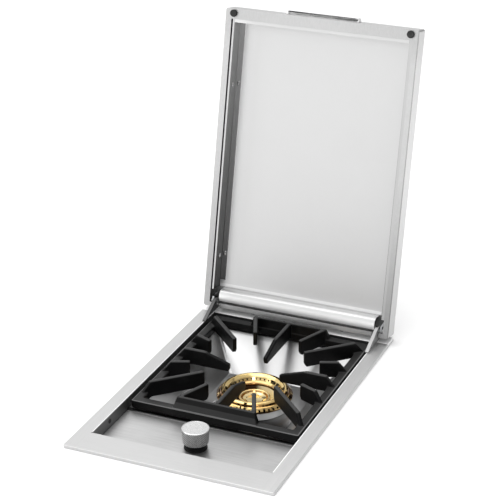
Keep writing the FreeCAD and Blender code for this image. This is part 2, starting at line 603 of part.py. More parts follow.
def make_burner_base(doc):
    """Cast base: a drum on the pan's floor with a mixing channel, a centre chamber and a spigot."""
    body = new_body(doc, "burner_base")
    section = new_sketch(body, "base_section", "XZ_Plane")
    polygon(section, [
        ("0", "-Size.spigot_depth"), ("Size.spigot_radius", "-Size.spigot_depth"), ("Size.spigot_radius", "0"),
        ("Size.base_radius - 1", "0"), ("Size.base_radius", "1"), ("Size.base_radius", "Size.base_height"),
        ("0", "Size.base_height")])
    revolve(body, "Revolution", "drum", section)
    channel = new_sketch(body, "channel_section", "XZ_Plane")
    polygon(channel, [
        ("Size.ring_inner + Size.ring_wall", "-Size.spigot_depth / 2"),
        ("Size.spigot_radius - Size.ring_wall", "-Size.spigot_depth / 2"),
        ("Size.spigot_radius - Size.ring_wall", "Size.base_height / 4"),
        ("Size.ring_radius - Size.ring_wall * 2", "Size.base_height"),
        ("Size.ring_inner + Size.ring_wall", "Size.base_height")])
    revolve(body, "Groove", "mixing_channel", channel)
    air = new_sketch(body, "air_section", "XZ_Plane")
    wall, socket = "Size.cap_radius + 2 * Size.cap_gap", "Size.base_height - Size.cap_seat + Size.cap_socket"
    polygon(air, [
        (wall, "-Size.spigot_depth / 3"), ("Size.ring_inner", "-Size.spigot_depth / 3"),
        ("Size.ring_inner", "Size.base_height"), ("Size.cap_radius", "Size.base_height"),
        ("Size.cap_radius", socket), (wall, socket)])
    revolve(body, "Groove", "air_channel", air)
    chamber = new_sketch(body, "chamber_section", "XZ_Plane")
    polygon(chamber, [
        ("0", "-Size.spigot_depth / 2"), ("Size.cap_radius - Size.cap_lip", "-Size.spigot_depth / 2"),
        ("Size.cap_radius - Size.cap_lip", "Size.base_height - Size.cap_seat"),
        ("Size.cap_radius + Size.cap_gap", "Size.base_height - Size.cap_seat"),
        ("Size.cap_radius + Size.cap_gap", "Size.base_height"), ("0", "Size.base_height")])
    revolve(body, "Groove", "centre_chamber", chamber)
    entries = new_sketch(body, "entries", "XY_Plane", "-Size.spigot_depth")
    circle(entries, "-Size.main_offset", "Layout.main_entry - Layout.burner_back",
           "Size.main_tube - 2 * Size.tube_wall")
    circle(entries, "0", "0", "Size.simmer_tube - 2 * Size.tube_wall")
    extrude(body, "Pocket", "entry_cuts", entries, "Size.spigot_depth * 0.6", flip=True)
    seat(body, "0", "Layout.burner_back", "Layout.pan_floor_level")
    return body


def make_outer_burner_ring(doc):
    """Brass ring: domed, hollow below, with large ports outside, small ports inside and cross slots."""
    body = new_body(doc, "outer_burner_ring")
    section = new_sketch(body, "ring_section", "XZ_Plane")
    outer, inner, top = "Size.ring_radius", "Size.ring_inner", "Size.ring_height"
    polygon(section, [
        (inner, "0"), (f"{outer} - 1.5", "0"), (outer, f"{top} * 0.15"), (outer, f"{top} * 0.32"),
        (f"{outer} - 4", f"{top} * 0.62"), (f"{outer} - 5.5", f"{top} * 0.62"), (f"{outer} - 7", f"{top} * 0.86"),
        (f"{outer} - 10", top), (f"{outer} - 13", top), (f"{inner} + 8", f"{top} * 0.78"),
        (f"{inner} + 4.5", f"{top} * 0.4"), (f"{inner} + 1", f"{top} * 0.3"), (inner, f"{top} * 0.2")])
    revolve(body, "Revolution", "ring", section)
    hollow = new_sketch(body, "gas_channel", "XZ_Plane")
    polygon(hollow, [
        (f"{inner} + 2 * Size.ring_wall + 1.5", "0"), (f"{outer} - 2 * Size.ring_wall", "0"),
        (f"{outer} - 2 * Size.ring_wall - 3", f"{top} - 1.6 * Size.ring_wall"),
        (f"{inner} + 3 * Size.ring_wall + 2", f"{top} - 1.8 * Size.ring_wall")])
    revolve(body, "Groove", "channel", hollow)
    port = new_sketch(body, "main_port", "YZ_Plane", f"{outer} - 3 * Size.ring_wall")
    circle(port, "0", f"{top} * 0.38", "Size.ring_port")
    main = extrude(body, "Pocket", "main_ports", port, "4 * Size.ring_wall", flip=True)
    around(body, "main_port_ring", main, "Size.ring_ports")
    pilot = new_sketch(body, "pilot_port_spot", "YZ_Plane", f"{inner} - 1")
    circle(pilot, "0", f"{top} * 0.55", "Size.pilot_port")
    pilots = extrude(body, "Pocket", "pilot_ports", pilot, "4 * Size.ring_wall", flip=True)
    around(body, "pilot_port_ring", pilots, "Size.pilot_ports")
    slot = new_sketch(body, "cross_slot", "XZ_Plane", f"{outer} - Size.ring_wall * 2.2")
    polygon(slot, [("3", f"{top} * 0.2"), ("5", f"{top} * 0.2"), ("1", f"{top} + 1"), ("-1", f"{top} + 1")])
    cut = extrude(body, "Pocket", "cross_slots", slot, "Size.ring_wall * 3", flip=True)
    around(body, "cross_slot_ring", cut, "3")
    seat(body, "0", "Layout.burner_back", "Layout.ring_level")
    return body


def make_inner_burner_cap(doc):
    """Brass cap: a raised rim round a dished floor with a ring of ports."""
    body = new_body(doc, "inner_burner_cap")
    section = new_sketch(body, "cap_section", "XZ_Plane")
    radius, top = "Size.cap_radius", "Size.cap_height"
    spigot = f"{radius} - Size.cap_lip - Size.fit_gap"
    polygon(section, [
        ("0", "-2"), (spigot, "-2"), (spigot, "0"), (radius, "0"), (radius, f"{top} * 0.6"),
        (f"{radius} - 1.5", f"{top}"), (f"{radius} - 4", f"{top}"), (f"{radius} - 6", f"{top} * 0.65"),
        (f"{radius} - 11", f"{top} * 0.4"), ("5", f"{top} * 0.45"), ("0", f"{top} * 0.65")])
    revolve(body, "Revolution", "cap", section)
    port = new_sketch(body, "cap_port_spot", "XY_Plane", "Size.cap_height")
    circle(port, f"{radius} - 11", "0", "Size.cap_port")
    ports = extrude(body, "Pocket", "cap_ports", port, "Size.cap_height + 2")
    around(body, "cap_port_ring", ports, "Size.cap_ports")
    seat(body, "0", "Layout.burner_back", "Layout.ring_level - Size.cap_seat")
    return body


def make_burner_support(doc):
    """Folded bridge that stands on the box floor and carries the burner base."""
    body = new_body(doc, "burner_support")
    height = "(Size.box_depth - Size.box_sheet + Layout.spigot_level)"
    section = new_sketch(body, "bridge_section", "XZ_Plane")
    half, sheet, foot = "(Size.base_radius + 6)", "Size.gusset_sheet", "Size.bridge_foot"
    polygon(section, [
        (f"-{half} - {foot}", "0"), (f"-{half} + {sheet}", "0"), (f"-{half} + {sheet}", f"{height} - {sheet}"),
        (f"{half} - {sheet}", f"{height} - {sheet}"), (f"{half} - {sheet}", "0"), (f"{half} + {foot}", "0"),
        (f"{half} + {foot}", sheet), (half, sheet), (half, height), (f"-{half}", height), (f"-{half}", sheet),
        (f"-{half} - {foot}", sheet)])
    extrude(body, "Pad", "bridge", section, "Size.spigot_radius * 1.6", both=True)
    holes = new_sketch(body, "tube_holes", "XY_Plane", height)
    circle(holes, "-Size.main_offset", "Layout.main_entry - Layout.burner_back", "Size.main_tube + 2")
    circle(holes, "0", "0", "Size.simmer_tube + 2")
    extrude(body, "Pocket", "tube_cuts", holes, sheet)
    seat(body, "0", "Layout.burner_back", "-Size.box_depth + Size.box_sheet")
    return body


def make_support_rails(doc):
    """Angles along the box's sides that carry the edges of the control panel and the pan."""
    size = Values(doc)
    wall = size.box_half - size.box_sheet
    sheet = size.bracket_sheet
    start = size.box_front + size.box_sheet + size.fit_gap
    length = size.box_back - size.box_sheet - size.fit_gap - start
    rails = []
    for side in (-1, 1):
        corner = Vector(wall - size.rail_width - sheet, start, -size.support_drop - sheet)
        shelf = Part.makeBox(size.rail_width + sheet, length, sheet, corner)
        leg = Part.makeBox(sheet, length, size.rail_leg, Vector(wall - sheet, start, corner.z - size.rail_leg))
        rail = shelf.fuse(leg).removeSplitter()
        rails.append(rail if side > 0 else rail.mirror(Vector(), Vector(1, 0, 0)))
    piece = shape_piece(doc, "support_rails", Part.makeCompound(rails))
    seat(piece)
    return piece


def make_mixing_tube(doc, name, along, entry, radius):
    """Mixing tube: from its mouth behind the valve, back and up into the burner base."""
    size = Values(doc)
    level = -size.train_drop
    mouth = Vector(along, size.mouth_back, level)
    back = Vector(0, 1, 0)
    points = [mouth, Vector(along, entry, level), Vector(along, entry, size.spigot_level)]
    outer = tube_along(points, [size.elbow], radius)
    inner = tube_along(points, [size.elbow], radius - size.tube_wall)
    wide, long = radius + size.bell_wall, size.bell_length
    bell = cylinder(wide, long, mouth, back).fuse(Part.makeCone(wide, radius, long, mouth + back * long, back))
    throat = Part.makeCone(wide - size.tube_wall, radius - size.tube_wall, 2 * long, mouth, back)
    piece = shape_piece(doc, name, outer.fuse(bell).cut(inner).cut(throat).removeSplitter())
    seat(piece)
    return piece


def make_air_shutter(doc, name, along, radius):
    """Cap with air windows that holds a mixing tube's mouth on its injector."""
    size = Values(doc)
    front = Vector(along, size.mouth_back - size.shutter_reach, -size.train_drop)
    back = Vector(0, 1, 0)
    bore, sheet = radius + size.bell_wall, size.shutter_sheet
    shell = cylinder(bore + sheet, size.shutter_length, front, back)
    shell = shell.cut(cylinder(bore, size.shutter_length - sheet, front + back * sheet, back))
    shell = shell.cut(cylinder(size.jet_nose, sheet, front, back))
    for turn in (45, 135):
        corner = Vector(-bore * 1.5, 3 * sheet, -size.window_width / 2)
        window = Part.makeBox(bore * 3, size.window_length, size.window_width, corner)
        window.rotate(Vector(), Vector(0, 1, 0), turn)
        window.translate(front)
        shell = shell.cut(window)
    piece = shape_piece(doc, name, shell)
    seat(piece)
    return piece


def make_injector(doc, name, along, start):
    """Brass injector: a hexagon and a drilled nose that reaches into the air shutter."""
    size = Values(doc)
    back = Vector(0, 1, 0)
    foot = Vector(along, start, -size.train_drop)
    length = size.mouth_back - size.jet_gap - start
    nut = hexagon_bar(size.jet_flats, size.jet_hexagon, foot, 1)
    nose = cylinder(size.jet_nose, length, foot, back)
    bore = cylinder(size.jet_bore, length, foot, back)
    piece = shape_piece(doc, name, nut.fuse(nose).cut(bore).removeSplitter())
    seat(piece)
    return piece


def make_gas_valve(doc):
    """Valve: a bored bonnet under the panel on a square block with its outlets."""
    body = new_body(doc, "gas_valve")
    round_part = new_sketch(body, "bonnet_outline", "XY_Plane", "0")
    circle(round_part, "0", "0", "Size.bonnet_radius")
    extrude(body, "Pad", "bonnet", round_part, "Size.bonnet_length + 2", flip=True)
    block = new_sketch(body, "block_outline", "XY_Plane", "-Size.bonnet_length")
    rectangle_about(block, "Size.valve_block / 2", "Size.valve_block / 2")
    block_height = "Size.train_drop - Size.panel_drop - Size.flange_sheet - Size.bonnet_length + Size.valve_tail"
    extrude(body, "Pad", "block", block, block_height, flip=True)
    round_edges(doc, body, "block_edges", "3", lambda edge: is_upright(edge) and edge.Length > 12)
    cavity = new_sketch(body, "cavity_outline", "XY_Plane", "0")
    circle(cavity, "0", "0", "Size.bonnet_radius - Size.bonnet_wall")
    extrude(body, "Pocket", "cavity", cavity, "Size.bonnet_length - Size.bonnet_wall")
    bore = new_sketch(body, "bore_outline", "XY_Plane", "0")
    circle(bore, "0", "0", "Size.stem_radius + Size.pin_play")
    extrude(body, "Pocket", "stem_bore", bore, "Size.bonnet_length + 8")
    seat(body, "0", "Layout.knob_back", "-Size.panel_drop - Size.flange_sheet")
    return body


def make_valve_stem(doc):
    """Stem from the valve up into the knob, with a flat at its top."""
    size = Values(doc)
    top = size.knob_rise - size.stem_cover
    bottom = -size.panel_drop - size.flange_sheet - size.bonnet_length - size.bonnet_wall
    stem = cylinder(size.stem_radius, top - bottom, Vector(0, size.knob_back, bottom), Vector(0, 0, 1))
    wide, tall = 2 * size.stem_radius, 3.5 * size.stem_radius
    flat = Part.makeBox(wide, wide, tall, Vector(-wide / 2, size.knob_back + size.stem_radius - 1.5, top - tall))
    piece = shape_piece(doc, "valve_stem", stem.cut(flat))
    seat(piece)
    return piece


def make_push_collar(doc):
    """Collar that slides in the bonnet with the stem and doesn't turn."""
    size = Values(doc)
    height, up = size.collar_height, Vector(0, 0, 1)
    foot = Vector(0, size.knob_back, -size.panel_drop - size.flange_sheet - size.collar_drop - height)
    collar = cylinder(size.bonnet_radius - size.bonnet_wall - size.pin_play, height, foot, up)
    collar = collar.cut(cylinder(size.stem_radius + size.pin_play, height, foot, up))
    piece = shape_piece(doc, "push_collar", collar)
    seat(piece)
    return piece


# Grooves of the knob's grip: how many, and their start, spacing and width as shares of the knob's height.
GROOVES, GROOVE_START, GROOVE_STEP, GROOVE_WIDTH = 6, 0.18, 0.12, 0.05


def make_knob(doc):
    """Turned knob: a tapered grip with fine grooves, a chamfered top and a hollow over the bezel."""
    body = new_body(doc, "knob")
    top, radius, taper = "Size.knob_height", "Size.knob_radius", "Size.knob_taper"
    mouth, roof = "Size.bezel_radius + 1", "Size.knob_hollow"
    outline = [(mouth, "0"), (f"{radius} - {taper} - 0.8", "0"), (f"{radius} - {taper}", "0.8")]
    for groove in range(GROOVES):
        low = GROOVE_START + GROOVE_STEP * groove
        high = low + GROOVE_WIDTH
        edge_low, edge_high = f"{radius} - {taper} * {1 - low:.2f}", f"{radius} - {taper} * {1 - high:.2f}"
        outline += [(edge_low, f"{top} * {low:.2f}"),
                    (f"{edge_low} - Size.groove_depth", f"{top} * {low + 0.01:.2f}"),
                    (f"{edge_high} - Size.groove_depth", f"{top} * {high - 0.01:.2f}"),
                    (edge_high, f"{top} * {high:.2f}")]
    outline += [(radius, f"{top} - 1"), (f"{radius} - 1", top), ("0", top), ("0", roof), (mouth, roof)]
    section = new_sketch(body, "knob_section", "XZ_Plane")
    polygon(section, outline)
    revolve(body, "Revolution", "grip", section)
    boss = new_sketch(body, "boss_outline", "XY_Plane", "Size.boss_level")
    circle(boss, "0", "0", "Size.stem_radius + Size.boss_wall")
    extrude(body, "Pad", "boss", boss, "Size.knob_hollow - Size.boss_level + 1")
    bore = new_sketch(body, "knob_bore", "XY_Plane", "Size.boss_level")
    circle(bore, "0", "0", "Size.stem_radius + Size.pin_play")
    extrude(body, "Pocket", "bore", bore,
            "Size.knob_height - Size.boss_level - Size.stem_cover + 2 * Size.pin_play", flip=True)
    seat(body, "0", "Layout.knob_back", "Size.knob_rise - Size.knob_height")
    return body


def make_knob_bezel(doc):
    """Black bezel on the panel round the stem, reaching up into the knob."""
    body = new_body(doc, "knob_bezel")
    section = new_sketch(body, "bezel_section", "XZ_Plane")
    polygon(section, [
        ("Size.bezel_radius - 5", "0"), ("Size.bezel_radius + 1", "0"), ("Size.bezel_radius + 1", "1.2"),
        ("Size.bezel_radius", "2"), ("Size.bezel_radius", "Size.bezel_height - 1"),
        ("Size.bezel_radius - 1", "Size.bezel_height"), ("Size.bezel_radius - 5", "Size.bezel_height")])
    revolve(body, "Revolution", "bezel", section)
    seat(body, "0", "Layout.knob_back", "-Size.panel_drop")
    return body


def make_feed_pipe(doc):
    """Small pipe from the valve's side to the main injector."""
    size = Values(doc)
    level = -size.train_drop
    points = [Vector(-size.valve_block / 2, size.knob_back, level),
              Vector(-size.main_offset, size.knob_back, level),
              Vector(-size.main_offset, size.knob_back + size.feed_reach, level)]
    bends = [size.feed_bend]
    pipe = tube_along(points, bends, size.feed_radius)
    pipe = pipe.cut(tube_along(points, bends, size.feed_radius - size.pipe_wall))
    piece = shape_piece(doc, "main_feed_pipe", pipe)
    seat(piece)
    return piece


def make_inlet_pipe(doc):
    """Supply pipe from the inlet at the back to the valve's side."""
    size = Values(doc)
    level = -size.train_drop
    points = [Vector(size.valve_block / 2, size.knob_back, level), Vector(size.inlet_side, size.knob_back, level),
              Vector(size.inlet_side, size.box_back - size.box_sheet - size.shank_length, level)]
    bends = [size.pipe_bend]
    pipe = tube_along(points, bends, size.pipe_radius)
    pipe = pipe.cut(tube_along(points, bends, size.pipe_radius - size.pipe_wall))
    piece = shape_piece(doc, "inlet_pipe", pipe)
    seat(piece)
    return piece


def hexagon_bar(across, length, start, direction_y):
    """Hexagonal bar along Y."""
    radius = across / math.sqrt(3)
    corners = [Vector(radius * math.cos(math.radians(a)), 0, radius * math.sin(math.radians(a)))
               for a in range(0, 361, 60)]
    bar = Part.Face(Part.makePolygon(corners)).extrude(Vector(0, length * direction_y, 0))
    bar.translate(start)
    return bar


def make_inlet_fitting(doc):
    """Bulkhead fitting through the box's back wall, with the male gas thread outside."""
    size = Values(doc)
    outside = Vector(size.inlet_side, size.box_back, -size.train_drop)
    back = Vector(0, 1, 0)
    inside_length = size.box_sheet + size.shank_length
    shank = cylinder(size.thread_radius, inside_length, outside - back * inside_length, back)
    flats = hexagon_bar(size.fitting_flats, size.fitting_hexagon, outside, 1)
    stub = cylinder(size.thread_radius, size.thread_length, outside + back * size.fitting_hexagon, back)
    bore = cylinder(size.inlet_bore, size.fitting_hexagon + size.thread_length, outside, back)
    piece = shape_piece(doc, "inlet_fitting", shank.fuse([flats, stub]).cut(bore).removeSplitter())
    seat(piece)
    return piece


def make_inlet_locknut(doc):
    """Nut that holds the inlet fitting from inside the box."""
    size = Values(doc)
    start = Vector(size.inlet_side, size.box_back - size.box_sheet, -size.train_drop)
    nut = hexagon_bar(size.fitting_flats, size.locknut_length, start, -1)
    nut = nut.cut(cylinder(size.thread_radius, size.locknut_length, start, Vector(0, -1, 0)))
    piece = shape_piece(doc, "inlet_locknut", nut)
    seat(piece)
    return piece


def make_igniter(doc):
    """Ceramic insulator through the pan's floor, the bent wire that it carries and its lead from the valve."""
    size = Values(doc)
    spot = size.spark_reach
    foot = Vector(-spot, size.burner_back - spot, size.pan_floor_level - size.insulator_drop)
    up = Vector(0, 0, 1)
    insulator = cylinder(size.insulator_radius, size.insulator_length, foot, up)
    insulator = insulator.fuse(cylinder(size.insulator_collar, 3, foot + up * size.insulator_drop, up))
    insulator = insulator.cut(cylinder(size.wire_radius, size.insulator_length, foot, up)).removeSplitter()
    pieces = [shape_piece(doc, "igniter_insulator", insulator)]
    bend = foot + up * (size.insulator_length + 6)
    points = [foot, bend, bend + Vector(1, 1, 0).normalize() * 6]
    pieces.append(shape_piece(doc, "igniter_electrode", tube_along(points, [2.5], size.wire_radius)))
    drop, side, end = foot.z - 6, -size.base_radius - 6, size.knob_back + 8
    lead = [foot, Vector(foot.x, foot.y, drop), Vector(side, foot.y, drop), Vector(side, end, drop),
            Vector(-size.valve_block / 2, end, drop)]
    pieces.append(shape_piece(doc, "igniter_lead", tube_along(lead, [4, 5, 5], size.lead_radius)))
    for piece in pieces:
        seat(piece)
    return pieces


# The trivet's fingers: four long ones in the middles, four at the corners and eight short ones between them.
FINGERS = 16


def finger_outline(sketch, tip, outer, kind):
    """Side view of a trivet finger, along the radius and up from the flange's top."""
    top, bottom = "Size.finger_rise", "Size.finger_rise - Size.finger_depth"
    foot = "-Size.bar_drop"
    heel = "-Size.bar_drop - Size.bar_height + 1"
    shared = [(f"{outer} - Size.finger_slope", top), (outer, foot), (outer, heel),
              (f"{outer} - Size.bar_width / 2", heel), (f"{outer} - Size.bar_width - Size.finger_foot", bottom)]
    if kind == "middle":
        low_top = f"{top} - Size.middle_fall"
        corners = [(f"{tip} + 2", bottom), (tip, f"{bottom} + 2"), (tip, f"{low_top} - 1"),
                   (f"{tip} + 1", low_top), ("Size.middle_knee", top)]
    else:
        corners = [(f"{tip} + 3", bottom), (tip, f"{bottom} + 3"), (tip, f"{top} - 1"), (f"{tip} + 1", top)]
    polygon(sketch, corners + shared)


def make_trivet(doc):
    """Cast trivet: a frame, a raised rail at each end and sixteen fingers towards the burner."""
    body = new_body(doc, "trivet")
    frame = new_sketch(body, "frame_outline", "XY_Plane", "-Size.bar_drop")
    rectangle_about(frame, "Layout.trivet_half_width", "Layout.trivet_half_length")
    rectangle_about(frame, "Layout.trivet_half_width - Size.bar_width",
                    "Layout.trivet_half_length - Size.bar_width")
    extrude(body, "Pad", "frame_bars", frame, "Size.bar_height", flip=True)
    low = new_sketch(body, "rail_foot", "XY_Plane", "-Size.bar_drop - 1")
    rectangle(low, "-Size.rail_half - Size.rail_flare", "Size.rail_half + Size.rail_flare",
              "-Layout.trivet_half_length", "-Layout.trivet_half_length + Size.bar_width")
    high = new_sketch(body, "rail_top", "XY_Plane", "Size.rail_rise")
    rectangle(high, "-Size.rail_half", "Size.rail_half", "-Layout.trivet_half_length + Size.rail_lean",
              "-Layout.trivet_half_length + Size.bar_width")
    rail = loft(body, "Additive", "front_rail", low, high)
    mirrored(body, "rear_rail", rail, "XZ_Plane")
    for step in range(FINGERS):
        angle = step * 360 / FINGERS
        across, along = abs(math.cos(math.radians(angle))), abs(math.sin(math.radians(angle)))
        reach = "Layout.trivet_half_width" if across > along - 0.001 else "Layout.trivet_half_length"
        lean = max(across, along)
        inset = 2 if step % 4 == 2 else 1
        outer = f"(({reach} - {inset} * Size.finger_inset) / {lean:.6f})"
        if step % 4 == 0:
            kind, tip = "middle", "Size.middle_tip"
        elif step % 4 == 2:
            kind, tip = "corner", "Size.corner_tip"
        else:
            kind, tip = "quarter", "Size.quarter_tip"
        side_view = new_sketch(body, f"finger_{step}_side", "XZ_Plane", "0", turn=angle)
        finger_outline(side_view, tip, outer, kind)
        extrude(body, "Pad", f"finger_{step}", side_view, "Size.finger_thick", both=True)
    seat(body, "0", "Layout.burner_back", "0")
    return body


def make_trivet_feet(doc):
    """Pads under the trivet's frame that stand on the pan's ledge."""
    size = Values(doc)
    height = size.pan_drop - size.bar_drop - size.bar_height
    level = -size.pan_drop
    across = size.trivet_half_width - size.bar_width / 2
    along = size.trivet_half_length - size.bar_width / 2
    spots = [(side * across * 0.93, end * along, size.pad_length) for side in (-1, 1) for end in (-1, 1)]
    spots += [(0, end * along, size.middle_pad_length) for end in (-1, 1)]
    pads = []
    for x, y, length in spots:
        corner = Vector(x - length / 2, size.burner_back + y - size.pad_width / 2, level)
        pads.append(Part.makeBox(length, size.pad_width, height, corner))
    piece = shape_piece(doc, "trivet_feet", Part.makeCompound(pads))
    seat(piece)
    return piece


def make_gusset(doc, name, side):
    """Hinge gusset: an upright web on the flange, its sloping front edge folded inwards."""
    body = new_body(doc, name)
    web = new_sketch(body, "web_outline", "YZ_Plane", f"{side}Layout.gusset_inner")
    polygon(web, [
        ("-Size.gusset_reach", "-Layout.hinge_level"), ("Size.pivot_setback", "-Layout.hinge_level"),
        ("Size.pivot_setback", "0"), ("4", "Size.gusset_top - 2"), ("0", "Size.gusset_top"),
        ("-Size.gusset_top", "Size.gusset_top"),
        ("-Size.gusset_reach", "-Layout.hinge_level + Size.gusset_foot")])
    inward = side == "-"
    extrude(body, "Pad", "web", web, "Size.gusset_sheet", flip=inward)
    fold = new_sketch(body, "fold_outline", "YZ_Plane", f"{side}Layout.gusset_inner")
    polygon(fold, [
        ("-Size.gusset_reach", "-Layout.hinge_level"), ("-Size.gusset_reach + 3", "-Layout.hinge_level"),
        ("-Size.gusset_top + 2.5", "Size.gusset_top - Size.gusset_sheet"),
        ("-Size.gusset_top + 2.5", "Size.gusset_top"), ("-Size.gusset_top", "Size.gusset_top"),
        ("-Size.gusset_reach", "-Layout.hinge_level + Size.gusset_foot")])
    extrude(body, "Pad", "fold", fold, "Size.gusset_fold - Size.gusset_sheet", flip=not inward)
    hole = new_sketch(body, "pin_hole", "YZ_Plane", f"{side}Layout.gusset_inner")
    circle(hole, "0", "0", "Size.pin_radius")
    extrude(body, "Pocket", "pin_cut", hole, "Size.gusset_sheet * 2", both=True)
    seat(body, "0", "Layout.hinge_back", "Layout.hinge_level")
    return body


def make_hinge_pins(doc):
    """Headed pins fixed in the gussets, running in the lid's ears, with their clips."""
    size = Values(doc)
    shafts, clips = [], []
    for side in (-1, 1):
        out = Vector(side, 0, 0)
        start = Vector(side * size.gusset_inner, size.hinge_back, size.hinge_level)
        outside = size.ear_inner + size.ear_sheet - size.gusset_inner
        head = cylinder(size.pin_head, size.pin_head_thick, start - out * size.pin_head_thick, out)
        shaft = cylinder(size.pin_radius, outside + size.pin_tail, start, out)
        shafts.append(head.fuse(shaft).removeSplitter())
        clip = start + out * (outside + 2 * size.fit_gap)
        clips.append(cylinder(size.pin_head, size.clip_thick, clip, out).cut(
            cylinder(size.pin_radius, size.clip_thick, clip, out)))
    pieces = [shape_piece(doc, "hinge_pins", Part.makeCompound(shafts)),
              shape_piece(doc, "hinge_clips", Part.makeCompound(clips))]
    for piece in pieces:
        seat(piece)
    return pieces


def pan_head_screw(size, spot, direction, grip, rise):
    """Screw with a low round head on the surface and its shank behind it."""
    head = Part.makeCone(size.screw_head, size.screw_head * 0.8, rise, spot, direction)
    shank = cylinder(size.screw_radius, grip, spot - direction * grip, direction)
    return head.fuse(shank).removeSplitter()


def make_fixed_screws(doc):
    """Screws in the flange's rear strip and in the recess walls."""
    size = Values(doc)
    rear = [pan_head_screw(size, Vector(side * size.rear_screw_side, size.rear_screw_back, 0), Vector(0, 0, 1),
                           8, size.rear_screw_rise) for side in (-1, 1)]
    walls = [pan_head_screw(size, Vector(side * size.opening_half, size.wall_screw_back, -size.panel_drop / 2),
                            Vector(-side, 0, 0), 6, size.screw_rise) for side in (-1, 1)]
    pieces = [shape_piece(doc, "rear_screws", Part.makeCompound(rear)),
              shape_piece(doc, "recess_screws", Part.makeCompound(walls))]
    for piece in pieces:
        seat(piece)
    return pieces


# The closed lid's frame has its origin on the hinge axis. Its back edge, front edge, rim and outer face:
LID_BACK = "Size.pivot_setback"
LID_FRONT = "(Size.pivot_setback - Layout.lid_length)"
LID_RIM = "-Size.pivot_height"
LID_TOP = "(Size.lid_depth - Size.pivot_height)"


def make_lid_shell(doc):
    """Outer shell: a shallow tray upside down, its rim turned in, with slots for the gussets."""
    body = new_body(doc, "lid_shell")
    sheet = "Size.lid_sheet"
    outline = new_sketch(body, "shell_outline", "XY_Plane", LID_RIM)
    rectangle(outline, "-Layout.lid_half", "Layout.lid_half", LID_FRONT, LID_BACK)
    extrude(body, "Pad", "shell_block", outline, "Size.lid_depth")
    round_edges(doc, body, "shell_corners", "Size.lid_corner", is_upright)
    high = Values(doc).lid_depth - Values(doc).pivot_height
    round_edges(doc, body, "shell_bend", "2", lambda edge: edge.BoundBox.ZMin > high - 0.001)
    inside = new_sketch(body, "shell_inside", "XY_Plane", f"{LID_RIM} + {sheet}")
    rectangle(inside, f"-Layout.lid_half + {sheet}", f"Layout.lid_half - {sheet}", f"{LID_FRONT} + {sheet}",
              f"{LID_BACK} - {sheet}")
    extrude(body, "Pocket", "shell_hollow", inside, f"Size.lid_depth - 2 * {sheet}", flip=True)
    mouth = new_sketch(body, "shell_mouth", "XY_Plane", LID_RIM)
    rectangle(mouth, "-Layout.lid_half + Size.rim_side", "Layout.lid_half - Size.rim_side",
              f"{LID_FRONT} + Size.rim_front", f"{LID_BACK} - Size.rim_rear")
    extrude(body, "Pocket", "mouth", mouth, sheet, flip=True)
    slots = new_sketch(body, "gusset_slots", "XZ_Plane", f"-({LID_BACK}) - 1")
    for side in ("-", ""):
        edges = [f"{side}(Layout.gusset_inner - Size.gusset_fold - 3)", f"{side}(Layout.ear_inner - 0.5)"]
        rectangle(slots, edges[0], edges[1], f"{LID_RIM} - 1", f"{LID_RIM} + 20")
    extrude(body, "Pocket", "slots", slots, "Size.rim_rear + 1", flip=True)
    seat_on_lid(body)
    return body


def make_lid_liner(doc):
    """Polished liner: a tray with folded edges, ending in a rounded nose along the hinge."""
    body = new_body(doc, "lid_liner")
    sheet = "Size.liner_sheet"
    level = f"({LID_TOP} - Size.liner_skin)"
    front = f"({LID_FRONT} + Size.rim_front + Size.liner_gap + Size.liner_fold)"
    back = f"({LID_BACK} - Size.nose_start - 2 * Size.nose_radius)"
    rim = f"({LID_RIM} + Size.lid_sheet + 0.5)"
    outline = new_sketch(body, "tray_outline", "XY_Plane", level)
    rectangle(outline, f"-Layout.liner_half - {sheet}", f"Layout.liner_half + {sheet}",
              f"{front} - {sheet}", back)
    extrude(body, "Pad", "tray_block", outline, f"{level} - {rim}", flip=True)
    fold = new_sketch(body, "fold_outline", "XY_Plane", rim)
    rectangle(fold, "-Layout.liner_half - Size.liner_fold", "Layout.liner_half + Size.liner_fold",
              f"{front} - Size.liner_fold", back)
    extrude(body, "Pad", "folded_edge", fold, sheet)
    inside = new_sketch(body, "tray_inside", "XY_Plane", rim)
    rectangle(inside, "-Layout.liner_half", "Layout.liner_half", front, f"{back} + 1")
    extrude(body, "Pocket", "tray_hollow", inside, f"{level} - {rim} - {sheet}", flip=True)
    holes = new_sketch(body, "screw_holes", "YZ_Plane")
    for setback in ("Size.liner_screw_low", "Size.liner_screw_high"):
        circle(holes, f"{LID_BACK} - {setback}", f"{LID_RIM} + Size.liner_screw_level", "Size.screw_radius")
    extrude(body, "Pocket", "screw_cuts", holes, "Size.frame_width", both=True)
    for kind, name, shrink, longer in (("Pad", "nose", "0", "0"), ("Pocket", "nose_inside", sheet, "1")):
        section = new_sketch(body, f"{name}_section", "YZ_Plane")
        round_nose(doc, section, f"Size.nose_radius - {shrink}", level)
        extrude(body, kind, name, section, f"2 * (Layout.nose_half + {longer})", both=True)
    seat_on_lid(body)
    return body


